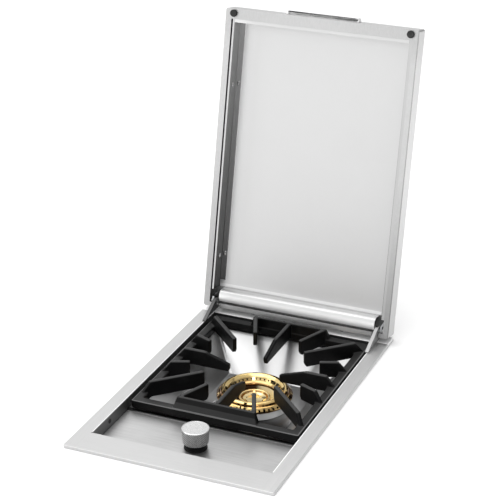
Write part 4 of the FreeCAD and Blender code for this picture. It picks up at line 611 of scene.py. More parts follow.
@dataclass(frozen=True)
class BurnerBrass(Finish):
    """Turned brass with fine lathe rings and heat tint, with painted shade low down and on its groove,
    painted dark reflections striped on its flanks, and soot and painted shade in its channel and round its
    ports.
    """

    # Colour of the painted shade low down and of the painted dark reflections on the flanks.
    hollow: Colour = (0.16, 0.055, 0.014)
    amber: Colour = (0.5, 0.24, 0.055)
    soot_and_shade: Colour = (0.012, 0.008, 0.005)
    low: float = -45.0
    high: float = -37.0
    flank: float = 50.5
    flank_bearing: float = 23.0
    flank_reflections: float = 23.0
    inside: tuple[float, float] = (39.8, 52.2)
    roof: float = -35.8
    dots: Holes = Holes(36, 39.2, 1.15, 0.6)
    ports: Holes = Holes(48, 57.0, 1.5, 1.5)
    port_level: float = -40.4
    groove: tuple[float, float] = (51.2, 53.4)
    lathe: float = 0.45

    def surface(self, graph: Graph) -> dict[str, Signal]:
        """Painted shade by height and groove, painted reflections on the flanks, and soot and painted shade
        by the distance from the axis.

        Args:
            graph: Tree of the material.

        Returns:
            The sockets that vary.
        """
        radius, bearing, height = graph.polar(BURNER)
        dots, ports = self.dots, self.ports
        rings = (radius * (math.tau / self.lathe)).sine() * 0.5 + 0.5
        stains = graph.noise(60.0, 3.0)
        heat = graph.noise(26.0, 2.0).spread(0.46, 0.64)
        # Painted shade: the lower parts take the hollow colour.
        level = (height + stains.swing(5.0)).spread(self.low, self.high, 0.25, 1.0)
        # Painted dark reflections, in stripes, on the flanks to either side.
        sides = abs((bearing + math.radians(90.0 - self.flank_bearing)).sine()).spread(0.7, 0.95)
        reflection_stripes = (bearing * self.flank_reflections + stains * 6.0).sine().spread(-0.5, 0.5, 0.35, 1.0)
        flank = sides * reflection_stripes * (radius > self.flank)
        # Soot and painted shade inside the channel and round the pilot ports and main ports.
        soot_and_shade = radius.between(*self.inside) * (height < self.roof)
        soot_and_shade = soot_and_shade + dots.around(bearing) * (abs(radius - dots.reach) < dots.across) * (
            height > self.roof - 4.0)
        soot_and_shade = soot_and_shade + ports.around(bearing) * (abs(height - self.port_level) < ports.across) * (
            radius > ports.reach - 3.0)
        # Heat tint at random, and painted shade on the groove's step.
        tone = graph.mixed((heat * 0.5).larger(radius.between(*self.groove) * 0.75), self.colour, self.amber)
        tone = graph.shade(tone, 0.95 + stains.swing(0.25))
        tone = graph.mixed(level * (1.0 - flank * 0.85), self.hollow, tone)
        return {"Base Color": graph.mixed(soot_and_shade, tone, self.soot_and_shade),
                "Roughness": self.roughness + stains.swing(0.08) + rings * 0.03,
                "Normal": graph.bump(rings, 0.0008)}


@dataclass(frozen=True)
class SpunAluminium(Finish):
    """Turned alloy with concentric rings about an upright axis, grime in the knurls of its side, and painted
    shade in the knurls' grooves and over the side, darkest opposite the light's bearing.
    """

    pitch: float = 0.55
    side: float = 17.9
    knurls: int = 40
    foot: float = -9.8
    crown: float = 10.6
    rise: float = 3.03
    light_bearing: float = 203.0

    def surface(self, graph: Graph) -> dict[str, Signal]:
        """Rings in colour, gloss and height, and the grip's grime and painted shade.

        Args:
            graph: Tree of the material.

        Returns:
            The sockets that vary.
        """
        radius, bearing, height = graph.polar(KNOB)
        around, up = bearing * (self.knurls / 2) - math.pi / 2, (height - self.foot) * (math.pi / self.rise)
        grip = (radius > self.side) * (height < self.crown)
        # Painted shade in the knurl's grooves.
        knurl = abs((around + up).sine() * (around - up).sine())
        wander = graph.noise(260.0, 2.0)
        rings = (radius * (math.tau / self.pitch) + wander * 2.0).sine() * 0.5 + 0.5
        # Painted shade over the side, darkest opposite the light's bearing.
        light = (bearing - math.radians(self.light_bearing - 90.0)).sine() * 0.22 - 0.22
        grime = graph.noise(480.0, 2.0, 0.8).swing(0.9)
        shade = 0.95 + rings * 0.07 + wander.swing(0.3) + (knurl * 1.1 - 0.5 + grime + light) * grip
        return {"Base Color": graph.shade(self.colour, shade),
                "Roughness": self.roughness + rings * 0.06 + grip * 0.1, "Normal": graph.bump(rings, 0.002)}


@dataclass(frozen=True)
class Rubber(Finish):
    """Matt rubber, dusty in places."""

    dust: Colour = grey(0.06)

    def surface(self, graph: Graph) -> dict[str, Signal]:
        """Dust and a fine skin.

        Args:
            graph: Tree of the material.

        Returns:
            The sockets that vary.
        """
        skin = graph.noise(1500.0, 3.0)
        dust = graph.noise(120.0, 3.0).spread(0.5, 0.8)
        return {"Base Color": graph.mixed(dust * 0.4, self.colour, self.dust),
                "Roughness": self.roughness + skin.swing(0.1), "Normal": graph.bump(skin, 0.02)}


FLANGE = FlangeSteel("flange_steel", "flange_steel", grey(0.535), 0.42)
PANEL = Grained("panel_steel", "flange_steel", grey(0.52), 0.4, stain_shares=(0.6, 0.08),
                grain_shares=(0.6, 0.12))
# Darker than the flange's steel: painted shade on the right gusset.
LID_STEEL = Grained("lid_steel", "flange_steel", grey(0.39), 0.42, grain=Grain.ALONG.lines())
RIM_STEEL = RimSteel("lid_rim_steel", "flange_steel", grey(0.54), 0.45, grain=Grain.UPRIGHT.lines())
# Paler copy of the lid's steel: painted light on the pull.
LIT_PULL_STEEL = Grained("pull_lit_steel", "flange_steel", grey(0.78), 0.42, metallic=0.65)
# Nearly black copy of the lid's steel: painted shade on the left gusset.
SHADED_STEEL = replace(LID_STEEL, name="left_gusset_shaded_steel", colour=grey(0.09))
LINER = LinerSteel("liner_steel", "polished_steel", grey(0.6), 0.45)
PAN = PanSteel("pan_steel", "polished_steel", grey(0.55), 0.3)
GALVANISED = Galvanised("galvanised_steel", "box_steel", (0.52, 0.53, 0.54), 0.42)
IRON = CastIron("cast_iron", "cast_iron", (0.003, 0.003, 0.0031), 0.4, metallic=0.0, specular=0.13)
ALUMINIUM = Grained("cast_aluminium", "cast_aluminium", grey(0.8), 0.5, metallic=0.6, tone=0.9, stains=40.0,
                    stain_shares=(0.2, 0.0), grain=(1300.0, 3.0, 0.6), grain_shares=(0.1, 0.2), depth=0.03)
BURNER_BASE_ALLOY = BurnerBaseAlloy("burner_base_alloy", "cast_aluminium", grey(0.95), 0.5, metallic=0.0)
RING_BRASS = BurnerBrass("ring_brass", "brass", (0.8, 0.6, 0.27), 0.1)
CAP_BRASS = BurnerBrass("cap_brass", "brass", (0.9, 0.74, 0.4), 0.12, low=-52.5, high=-50.5,
                        groove=(18.2, 20.6), dots=Holes(16, 14.0, 1.2, 1.2))
FITTING_BRASS = Grained("fitting_brass", "brass", (0.78, 0.54, 0.2), 0.26, tone=0.92, stains=50.0,
                        stain_shares=(0.3, 0.12), grain=Grain.ACROSS.lines(1800.0, 400.0),
                        grain_shares=(0.0, 0.08), depth=0.003)
KNOB_TOP = SpunAluminium("spun_aluminium", "spun_aluminium", grey(0.66), 0.24)
BLACK = Grained("black_plastic", "black_plastic", grey(0.003), 0.5, metallic=0.0, specular=0.12,
                stain_shares=(0.0, 0.0), grain=(2200.0, 2.0, 0.5), grain_shares=(0.4, 0.15), depth=0.012)
RUBBER = Rubber("black_rubber", "black_rubber", grey(0.012), 0.75, metallic=0.0)
SILICONE = Rubber("silicone_lead", "lead_rubber", (0.16, 0.02, 0.015), 0.55, metallic=0.0)
CERAMIC = Grained("ceramic", "ceramic", (0.84, 0.82, 0.77), 0.2, metallic=0.0, tone=0.95,
                  stain_shares=(0.0, 0.0), grain=(300.0, 3.0, 0.5), grain_shares=(0.1, 0.1), depth=0.01)
PLATED = Grained("plated_steel", "screw_steel", grey(0.6), 0.25, tone=0.93, stains=180.0,
                 stain_shares=(0.16, 0.14), grain=((2500.0, 300.0, 2500.0), 2.0, 0.5),
                 grain_shares=(0.0, 0.08), depth=0.003)
PIPE = replace(PLATED, slot="pipe_steel")
# Nearly black copy of the plated steel: painted shade on the screws in the recess walls.
SHADED_SCREW = replace(PLATED, name="shaded_screw", colour=grey(0.07), roughness=0.35)


# Modelling


def pick(piece: Piece) -> None:
    """Makes a piece the only selected and active one.

    Args:
        piece: Piece to pick.
    """
    bpy.ops.object.select_all(action="DESELECT")
    piece.select_set(True)
    bpy.context.view_layer.objects.active = piece


class Editing:
    """Edit mode on one piece, with nothing selected at the start."""

    def __init__(self, piece: Piece) -> None:
        """Keeps the piece."""
        self.piece = piece

    def __enter__(self) -> "Editing":
        """Opens edit mode.

        Returns:
            This session of edit mode.
        """
        pick(self.piece)
        bpy.ops.object.mode_set(mode="EDIT")
        self.nothing("VERT")
        return self

    def __exit__(self, *_: object) -> None:
        """Closes edit mode."""
        bpy.ops.object.mode_set(mode="OBJECT")

    def nothing(self, kind: str) -> bmesh.types.BMesh:
        """Deselects everything.

        Args:
            kind: Kind of element to select next, as Blender names it.

        Returns:
            The mesh in edit mode.
        """
        bpy.ops.mesh.select_mode(type=kind)
        bpy.ops.mesh.select_all(action="DESELECT")
        return bmesh.from_edit_mesh(self.piece.data)

    def verts(self, wanted: Callable[[Vector], bool]) -> None:
        """Selects vertices.

        Args:
            wanted: Test of a vertex by its place.
        """
        mesh = self.nothing("VERT")
        for vert in mesh.verts:
            vert.select_set(wanted(vert.co))
        mesh.select_flush_mode()
        bmesh.update_edit_mesh(self.piece.data)

    def edges(self, wanted: Callable[[Vector, Vector], bool]) -> None:
        """Selects edges.

        Args:
            wanted: Test of an edge by its two ends.
        """
        mesh = self.nothing("EDGE")
        for edge in mesh.edges:
            edge.select_set(wanted(edge.verts[0].co, edge.verts[1].co))
        bmesh.update_edit_mesh(self.piece.data)

    def faces(self, wanted: Callable[[Vector], bool]) -> None:
        """Selects faces.

        Args:
            wanted: Test of a face by its normal.
        """
        mesh = self.nothing("FACE")
        mesh.normal_update()
        for face in mesh.faces:
            face.select_set(wanted(face.normal))
        bmesh.update_edit_mesh(self.piece.data)

    def move(self, x: float, y: float, z: float) -> None:
        """Moves what is selected, in millimetres."""
        bpy.ops.transform.translate(value=(x * MM, y * MM, z * MM))

    def merge(self) -> None:
        """Selects everything and merges its doubles."""
        bpy.ops.mesh.select_all(action="SELECT")
        bpy.ops.mesh.remove_doubles(threshold=SEAM)


def modified(piece: Piece, kind: str, **settings: object) -> None:
    """Puts a modifier on a piece and applies it.

    Args:
        piece: Piece to change.
        kind: Type of the modifier.
        settings: Its properties.
    """
    pick(piece)
    bpy.ops.object.modifier_add(type=kind)
    modifier = piece.modifiers[-1]
    for key, setting in settings.items():
        setattr(modifier, key, setting)
    bpy.ops.object.modifier_apply(modifier=modifier.name)


def eased(piece: Piece, width: float, segments: int = 2, angle: float = 30.0) -> None:
    """Rounds the sharp edges of a piece.

    Args:
        piece: Piece to change.
        width: Width of the rounding.
        segments: Faces across it.
        angle: Edges sharper than this are rounded, in degrees.
    """
    modified(piece, "BEVEL", width=width * MM, segments=segments, limit_method="ANGLE",
             angle_limit=math.radians(angle), miter_outer="MITER_ARC" if segments > 1 else "MITER_SHARP")


def placed(piece: Piece) -> None:
    """Puts a piece's place, turn and scale into its mesh."""
    pick(piece)
    bpy.ops.object.transform_apply(location=True, rotation=True, scale=True)


def copied(name: str, node: str) -> Piece:
    """Copies a CAD node, merges its doubles and joins its flat triangles.

    Args:
        name: Name of the new piece.
        node: Node to copy.

    Returns:
        The new piece.
    """
    piece = bpy.data.objects.new(name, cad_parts[node].data.copy())
    bpy.context.scene.collection.objects.link(piece)
    piece.data.materials.clear()
    with Editing(piece) as edit:
        edit.merge()
        bpy.ops.mesh.customdata_custom_splitnormals_clear()
        bpy.ops.mesh.dissolve_limited(angle_limit=FLAT)
    return piece


def duplicate(piece: Piece, name: str, matrix: Matrix) -> Piece:
    """Copies a piece with its mesh and moves the copy.

    Args:
        piece: Piece to copy.
        name: Name of the copy.
        matrix: Move of the copy.

    Returns:
        The copy.
    """
    twin = bpy.data.objects.new(name, piece.data.copy())
    bpy.context.scene.collection.objects.link(twin)
    twin.data.transform(matrix)
    return twin


def joined(parts: Sequence[Piece], name: str) -> Piece:
    """Joins pieces to one.

    Args:
        parts: Pieces to join.
        name: Name of the result.

    Returns:
        The one piece.
    """
    bpy.ops.object.select_all(action="DESELECT")
    for part in parts:
        part.select_set(True)
    bpy.context.view_layer.objects.active = parts[0]
    bpy.ops.object.join()
    parts[0].name = name
    return parts[0]


def rod(name: str, radius: float, length: float, place: Matrix, sides: int = 16) -> Piece:
    """Makes a round bar.

    Args:
        name: Name of the bar.
        radius: Its radius.
        length: Its length along its own Z, half of it on each side.
        place: Its place in the frame.
        sides: Its number of sides.

    Returns:
        The bar, its place in its mesh.
    """
    bpy.ops.object.select_all(action="DESELECT")
    bpy.ops.mesh.primitive_cylinder_add(vertices=sides, radius=radius * MM, depth=length * MM)
    bar = bpy.context.active_object
    bar.name = name
    bar.data.transform(place)
    return bar


def block(name: str, size: Sequence[float], place: Matrix) -> Piece:
    """Makes a rectangular block.

    Args:
        name: Name of the block.
        size: Its three sides.
        place: Its middle and turn in the frame.

    Returns:
        The block, its place in its mesh.
    """
    bpy.ops.object.select_all(action="DESELECT")
    bpy.ops.mesh.primitive_cube_add(size=1.0)
    cube = bpy.context.active_object
    cube.name = name
    cube.data.transform(place @ Matrix.Diagonal((*(side * MM for side in size), 1.0)))
    return cube


def cut(piece: Piece, tool: Piece) -> None:
    """Cuts a tool's shape out of a piece and deletes the tool."""
    modified(piece, "BOOLEAN", operation="DIFFERENCE", solver="EXACT", object=tool)
    bpy.data.objects.remove(tool)


def turned(name: str, profile: Sequence[tuple[float, float]], centre: Vector, steps: int = 96) -> Piece:
    """Turns a piece: a profile is extruded point by point and spun about the upright.

    Args:
        name: Name of the piece.
        profile: Radius and height of each point. It is closed unless both ends lie on the axis.
        centre: Foot of the axis in the frame.
        steps: Faces round the axis.

    Returns:
        The piece, with its faces outwards.
    """
    (first_radius, first_height), last_radius = profile[0], profile[-1][0]
    points = [*profile, profile[0]] if first_radius > 0 or last_radius > 0 else profile
    start = centre + Vector((first_radius * MM, 0.0, first_height * MM))
    bpy.ops.object.select_all(action="DESELECT")
    bpy.ops.mesh.primitive_plane_add(size=MM, location=start)
    piece = bpy.context.active_object
    piece.name = name
    with Editing(piece) as edit:
        bpy.ops.mesh.select_all(action="SELECT")
        bpy.ops.mesh.merge(type="CENTER")
        for before, after in zip(points, points[1:]):
            step = ((after[0] - before[0]) * MM, 0.0, (after[1] - before[1]) * MM)
            bpy.ops.mesh.extrude_vertices_move(TRANSFORM_OT_translate={"value": step})
        edit.merge()
        bpy.ops.mesh.spin(steps=steps, angle=math.tau, center=centre, axis=UP)
    with Editing(piece) as edit:
        edit.merge()
        bpy.ops.mesh.normals_make_consistent(inside=False)
    placed(piece)
    return piece


def show(piece: Piece, body: Body, finish: Finish, node: str, smooth: float = 35.0) -> None:
    """Finishes a piece: shading, material and body, and hides the node that it stands for.

    Args:
        piece: Piece to finish.
        body: Body that it rides on.
        finish: Its finish.
        node: CAD node that it replaces.
        smooth: Edges sharper than this stay sharp, in degrees.
    """
    placed(piece)
    bpy.ops.object.shade_smooth_by_angle(angle=math.radians(smooth))
    modified(piece, "WEIGHTED_NORMAL", keep_sharp=True, weight=50)
    piece.data.materials.clear()
    piece.data.materials.append(finish.material())
    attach(piece, body.value)
    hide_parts(node)
    log.info("%s: %d faces", piece.name, len(piece.data.polygons))


def carry(name: str, node: str, finish: Finish, fold: float, segments: int = 2, body: Body = Body.BASE,
          change: Callable[[Piece], None] | None = None) -> None:
    """Copies a CAD node, rounds its edges and finishes it.

    Args:
        name: Name of the piece.
        node: Node that it copies and replaces.
        finish: Its finish.
        fold: Width of its rounded edges.
        segments: Faces across them.
        body: Body that it rides on.
        change: Change to its shape before the rounding, if it has one.
    """
    piece = copied(name, node)
    if change is not None:
        change(piece)
    eased(piece, fold, segments)
    show(piece, body, finish, node)


def facing(spot: Vector, direction: Vector) -> Matrix:
    """Place whose Z looks along a direction."""
    return Matrix.Translation(spot) @ direction.to_track_quat("Z", "Y").to_matrix().to_4x4()


@dataclass
class Panhead:
    """Pan head screw with a cross recess. Its rim, dome and recess are shares of its head and rise."""

    head: float = 3.6
    shank: float = 2.0
    rise: float = 1.2
    grip: float = 6.0
    rim: float = 0.18
    dome: float = 0.35
    recess: tuple[float, float, float] = (1.1, 0.24, 1.2)

    def build(self, name: str) -> Piece:
        """Makes the screw at the origin, its head along Z above the surface.

        Args:
            name: Name of the screw.

        Returns:
            The screw.
        """
        head, rise = self.head, self.rise
        screw = rod(name, head, rise, Matrix.Translation((0.0, 0.0, rise * MM / 2)), 32)
        with Editing(screw) as edit:
            edit.faces(lambda normal: normal.z > UPRIGHT_FACE)
            bpy.ops.mesh.inset(thickness=head * self.rim * MM)
            edit.verts(lambda spot: spot.z > 0 and spot.xy.length > head * 0.9 * MM)
            edit.move(0.0, 0.0, -rise * self.dome)
            edit.faces(lambda normal: normal.z < -UPRIGHT_FACE)
            bpy.ops.mesh.inset(thickness=(head - self.shank) * MM)
            bpy.ops.mesh.extrude_region_move(TRANSFORM_OT_translate={"value": (0.0, 0.0, -self.grip * MM)})
        eased(screw, 0.18, 2, 25.0)
        long, wide, deep = self.recess
        tools = [block("recess", (head * long, head * wide, rise * deep),
                       Matrix.Translation((0.0, 0.0, rise * MM)) @ Matrix.Rotation(turn, 4, "Z"))
                 for turn in (0.0, math.pi / 2)]
        for tool in tools:
            cut(screw, tool)
        return screw

    def set_out(self, name: str, places: Sequence[Matrix]) -> Piece:
        """Makes screws at several places, in one piece.

        Args:
            name: Name of the piece.
            places: Place and turn of each screw.

        Returns:
            The piece.
        """
        model = self.build(name)
        screws = [duplicate(model, name, place) for place in places]
        bpy.data.objects.remove(model)
        return joined(screws, name)


# Sub-assemblies


@dataclass
class Housing:
    """Flange, box, control panel and the rails that carry it."""

    fold: float = 0.4
    rim_fold: float = 1.2
    rim_reach: float = 0.1
    rim_edge: float = 50.0
    wall_screw_back: float = 100.0
    wall_screw_level: float = -10.0
    rear_screw_side: float = 76.5
    rear_screw_back: float = 485.0

    def build(self) -> None:
        """Builds and dresses the fixed sheet metal and its screws."""
        for row in (("flange", "top_frame", FLANGE, self.fold, 2, Body.BASE, self.fold_rim),
                    ("box", "burner_box", GALVANISED, 0.3, 1),
                    ("rails", "support_rails", GALVANISED, 0.3, 1),
                    ("panel", "control_panel", PANEL, self.fold, 3)):
            carry(*row)
        self.build_screws()

    def fold_rim(self, flange: Piece) -> None:
        """Rounds the opening's top edge.

        Args:
            flange: Piece to change.
        """
        reach, shortest = self.rim_reach, self.rim_edge * MM
        low = on_flange(-OPENING_HALF - reach, OPENING_FRONT - reach, 0.0)
        high = on_flange(OPENING_HALF + reach, OPENING_BACK + reach, 0.0)

        def is_rim(spot: Vector) -> bool:
            """True for a point on the opening's top edge."""
            return low.x < spot.x < high.x and low.y < spot.y < high.y and abs(spot.z - low.z) < SEAM

        with Editing(flange) as edit:
            edit.edges(lambda first, last: is_rim(first) and is_rim(last)
                       and (first - last).length > shortest)
            bpy.ops.mesh.bevel(offset=self.rim_fold * MM, segments=4, affect="EDGES")

    def build_screws(self) -> None:
        """Builds the screws of the rear strip and of the recess walls."""
        rear = [facing(on_flange(side * self.rear_screw_side, self.rear_screw_back, 0.0), UP)
                for side in (-1, 1)]
        screws = Panhead(rise=0.6, grip=8.0).set_out("flange_screws", rear)
        show(screws, Body.BASE, PLATED, "rear_screws")
        walls = [facing(on_flange(side * OPENING_HALF, self.wall_screw_back, self.wall_screw_level),
                        Vector((-side, 0.0, 0.0))) for side in (-1, 1)]
        show(Panhead().set_out("wall_screws", walls), Body.BASE, SHADED_SCREW, "recess_screws")


@dataclass
class Pan:
    """Polished pan with softly pressed creases."""

    crease: float = 3.0
    ledge: float = -18.0
    floor: float = -58.0
    reach: float = 5 * SEAM

    def build(self) -> None:
        """Builds and dresses the pan, with the edges rounded where its slopes meet."""
        pan = copied("pan", "burner_pan")
        ledge, floor = on_flange(0.0, 0.0, self.ledge).z, on_flange(0.0, 0.0, self.floor).z
        with Editing(pan) as edit:
            edit.edges(lambda first, last: min(abs(first.z - floor), abs(last.z - floor)) < self.reach
                       and max(first.z, last.z) > ledge - self.reach and abs(first.z - last.z) > 0.01)
            bpy.ops.mesh.bevel(offset=self.crease * MM, segments=4, affect="EDGES")
        eased(pan, 0.4, 2, 32.0)
        show(pan, Body.BASE, PAN, "burner_pan")


@dataclass
class Burner:
    """Cast base with the ported brass ring and cap, the bridge under it and the igniter."""

    ring_level: float = -46.0
    outer: float = 58.5
    inner: float = 33.0
    top: float = 15.0
    ports: int = 48
    port: float = 1.3
    pilots: int = 36
    pilot: float = 0.9
    port_length: float = 12.0
    slots: int = 3
    slot: tuple[float, float, float] = (13.0, 2.2, 16.0)
    slot_lean: float = 0.32
    cap: float = 22.5
    cap_brim: float = 25.2
    cap_top: float = 8.0
    cap_seat: float = 8.0
    cap_ports: int = 8
    cap_port: float = 1.2

    def build(self) -> None:
        """Builds and dresses the burner."""
        self.build_ring()
        self.build_cap()
        for row in (("base_casting", "burner_base", BURNER_BASE_ALLOY, 0.6),
                    ("bridge", "burner_support", GALVANISED, 0.5),
                    ("spark_insulator", "igniter_insulator", CERAMIC, 0.5),
                    ("spark_wire", "igniter_electrode", PLATED, 0.2),
                    ("spark_lead", "igniter_lead", SILICONE, 0.2)):
            carry(*row)

    def around(self, level: float, count: int, start: float = 0.0) -> list[Matrix]:
        """Finds the equal steps of a turn about the burner's axis.

        Args:
            level: Height of the places over the flange.
            count: Number of steps.
            start: Bearing of the first step, in radians.

        Returns:
            The turned places.
        """
        centre = Matrix.Translation(on_flange(*BURNER, level))
        return [centre @ Matrix.Rotation(math.tau * step / count + start, 4, "Z") for step in range(count)]

    def build_ring(self) -> None:
        """Builds the outer ring: a rounded section, two rings of ports and the cross slots."""
        outer, inner, top = self.outer, self.inner, self.top
        profile = [
            (inner, 0.0), (inner + 7.5, 0.0), (inner + 11.0, top - 5.4), (outer - 9.0, top - 4.8),
            (outer - 6.0, 0.0), (outer - 1.5, 0.0), (outer, top * 0.15), (outer, top * 0.32),
            (outer - 4.0, top * 0.62), (outer - 5.5, top * 0.62), (outer - 7.0, top * 0.86),
            (outer - 10.0, top), (outer - 13.0, top),
            (inner + 8.0, top * 0.78), (inner + 4.5, top * 0.4), (inner + 1.0, top * 0.3), (inner, top * 0.2)]
        ring = turned("brass_ring", profile, on_flange(*BURNER, self.ring_level), 160)
        eased(ring, 0.7, 3, 12.0)
        tools = []
        for count, radius, reach, level in ((self.ports, self.port, outer - 2.0, top * 0.38),
                                            (self.pilots, self.pilot, inner + 5.0, top * 0.55)):
            lay = Matrix.Translation((reach * MM, 0.0, level * MM)) @ Matrix.Rotation(math.pi / 2, 4, "Y")
            tools += [rod("port", radius, self.port_length, turn @ lay) for turn in
                      self.around(self.ring_level, count)]
        cut(ring, joined(tools, "ports"))
        lay = Matrix.Translation((outer * MM, 0.0, top * 0.62 * MM)) @ Matrix.Rotation(self.slot_lean, 4, "X")
        slots = [block("slot", self.slot, turn @ lay) for turn in
                 self.around(self.ring_level, self.slots, -math.pi / 2)]
        cut(ring, joined(slots, "slots"))
        show(ring, Body.BASE, RING_BRASS, "outer_burner_ring", 25.0)

    def build_cap(self) -> None:
        """Builds the inner cap: a thick rim round a dished, ported floor."""
        radius, top, brim, level = self.cap, self.cap_top, self.cap_brim, self.ring_level - self.cap_seat
        profile = [
            (0.0, -2.0), (radius - 5.3, -2.0), (radius - 5.3, 0.0), (radius, 0.0), (radius, top * 0.46),
            (brim - 0.8, top * 0.5), (brim, top * 0.7), (brim - 0.6, top * 0.9), (brim - 2.0, top),
            (brim - 4.2, top), (brim - 5.4, top * 0.88), (brim - 6.8, top * 0.56), (brim - 12.0, top * 0.38),
            (5.0, top * 0.42), (0.0, top * 0.6)]
        cap = turned("brass_cap", profile, on_flange(*BURNER, level))
        eased(cap, 0.6, 3, 14.0)
        lay = Matrix.Translation(((brim - 12.0) * MM, 0.0, top * 0.4 * MM))
        tools = [rod("port", self.cap_port, top * 2, turn @ lay)
                 for turn in self.around(level, self.cap_ports)]
        cut(cap, joined(tools, "ports"))
        show(cap, Body.BASE, CAP_BRASS, "inner_burner_cap", 25.0)


class GasTrain:
    """Valve, injectors, shutters, tubes and pipes under the panel."""

    def build(self) -> None:
        """Builds and dresses the gas train."""
        for row in (("valve_body", "gas_valve", ALUMINIUM, 0.8),
                    ("stem", "valve_stem", PLATED, 0.3, 2, Body.KNOB),
                    ("collar", "push_collar", FITTING_BRASS, 0.3, 2, Body.COLLAR),
                    ("feed_pipe", "main_feed_pipe", PIPE, 0.2),
                    ("supply_pipe", "inlet_pipe", PIPE, 0.2),
                    ("bulkhead_fitting", "inlet_fitting", FITTING_BRASS, 0.5),
                    ("locknut", "inlet_locknut", FITTING_BRASS, 0.5),
                    ("main_jet", "main_injector", FITTING_BRASS, 0.4),
                    ("simmer_jet", "simmer_injector", FITTING_BRASS, 0.4),
                    ("main_shutter", "main_air_shutter", PLATED, 0.25),
                    ("simmer_shutter", "simmer_air_shutter", PLATED, 0.25),
                    ("main_tube", "main_mixing_tube", ALUMINIUM, 0.4),
                    ("simmer_tube", "simmer_mixing_tube", ALUMINIUM, 0.4)):
            carry(*row)


@dataclass
class Control:
    """Knurled knob on its black bezel."""

    foot: float = -11.0
    height: float = 23.0
    radius: float = 20.0
    taper: float = 1.5
    hollow: float = 17.0
    hollow_height: float = 10.0
    hub: float = 7.0
    hub_foot: float = 6.0
    bore: float = 4.05
    knurls: int = 40
    rows: int = 28
    knurl_depth: float = 0.5
    bezel: float = 16.0
    bezel_height: float = 15.0
    panel: float = -20.0

    def build(self) -> None:
        """Builds and dresses the knob and the bezel."""
        self.build_knob()
        bezel, height = self.bezel, self.bezel_height
        profile = [(bezel - 5.0, 0.0), (bezel + 1.0, 0.0), (bezel + 1.0, 1.2), (bezel, 2.0),
                   (bezel, height - 1.0), (bezel - 1.0, height), (bezel - 5.0, height)]
        ring = turned("bezel", profile, on_flange(*KNOB, self.panel))
        eased(ring, 0.3, 2)
        show(ring, Body.BASE, BLACK, "knob_bezel")

    def build_knob(self) -> None:
        """Builds the knob: a bright top with a chamfer over a knurled grip."""
        radius, height, taper = self.radius, self.height, self.taper
        centre = on_flange(*KNOB, self.foot)
        low, high = 1.2, height - 1.6
        pitch, columns = (high - low) / self.rows, self.knurls * 4
        levels = [low + pitch * row for row in range(self.rows + 1)]
        grip = [(radius - taper * (1 - level / height), level) for level in levels]
        profile = [(self.hollow, self.hollow_height), (self.hollow, 0.0), (radius - taper - 0.9, 0.0), *grip,
                   (radius, height - 0.9), (radius - 0.25, height - 0.35), (radius - 0.9, height),
                   (radius - 2.0, height), (radius - 2.4, height - 0.3), (radius * 0.5, height - 0.4),
                   (0.0, height - 0.4), (0.0, height - 5.9), (self.bore, height - 5.9),
                   (self.bore, self.hub_foot), (self.hub, self.hub_foot), (self.hub, self.hollow_height)]
        knob = turned("knob_body", profile, centre, columns)

        def is_groove(spot: Vector) -> bool:
            """Finds the crossing grooves, which are four columns apart.

            Args:
                spot: Point of the knob.

            Returns:
                True for a point of the grip on a groove.
            """
            away = spot - centre
            row = (away.z / MM - low) / pitch
            column = round(math.atan2(away.y, away.x) / math.tau * columns)
            on_grip = 0.5 < row < self.rows - 0.5 and away.xy.length > (self.hollow + 0.8) * MM
            return on_grip and 2 in ((column + round(row)) % 4, (column - round(row)) % 4)

        with Editing(knob) as edit:
            edit.verts(is_groove)
            shrink = 1.0 - self.knurl_depth / radius
            bpy.ops.transform.resize(value=(shrink, shrink, 1.0), center_override=centre)
        show(knob, Body.KNOB, KNOB_TOP, "knob", 20.0)


@dataclass
class Trivet:
    """Cast iron trivet with softened edges, on its rubber pads."""

    grid: float = 1.1
    passes: int = 4
    finger_foot: float = -9.0
    finger_drop: float = 2.5

    def build(self) -> None:
        """Builds and dresses the trivet and its pads."""
        trivet = copied("iron_trivet", "trivet")
        foot = on_flange(0.0, 0.0, self.finger_foot).z
        with Editing(trivet) as edit:
            edit.verts(lambda spot: abs(spot.z - foot) < SEAM)
            edit.move(0.0, 0.0, -self.finger_drop)
        modified(trivet, "REMESH", mode="VOXEL", voxel_size=self.grid * MM)
        modified(trivet, "SMOOTH", factor=0.5, iterations=self.passes)
        show(trivet, Body.TRIVET, IRON, "trivet", 80.0)
        carry("trivet_pads", "trivet_feet", RUBBER, 0.6, 3, Body.TRIVET)


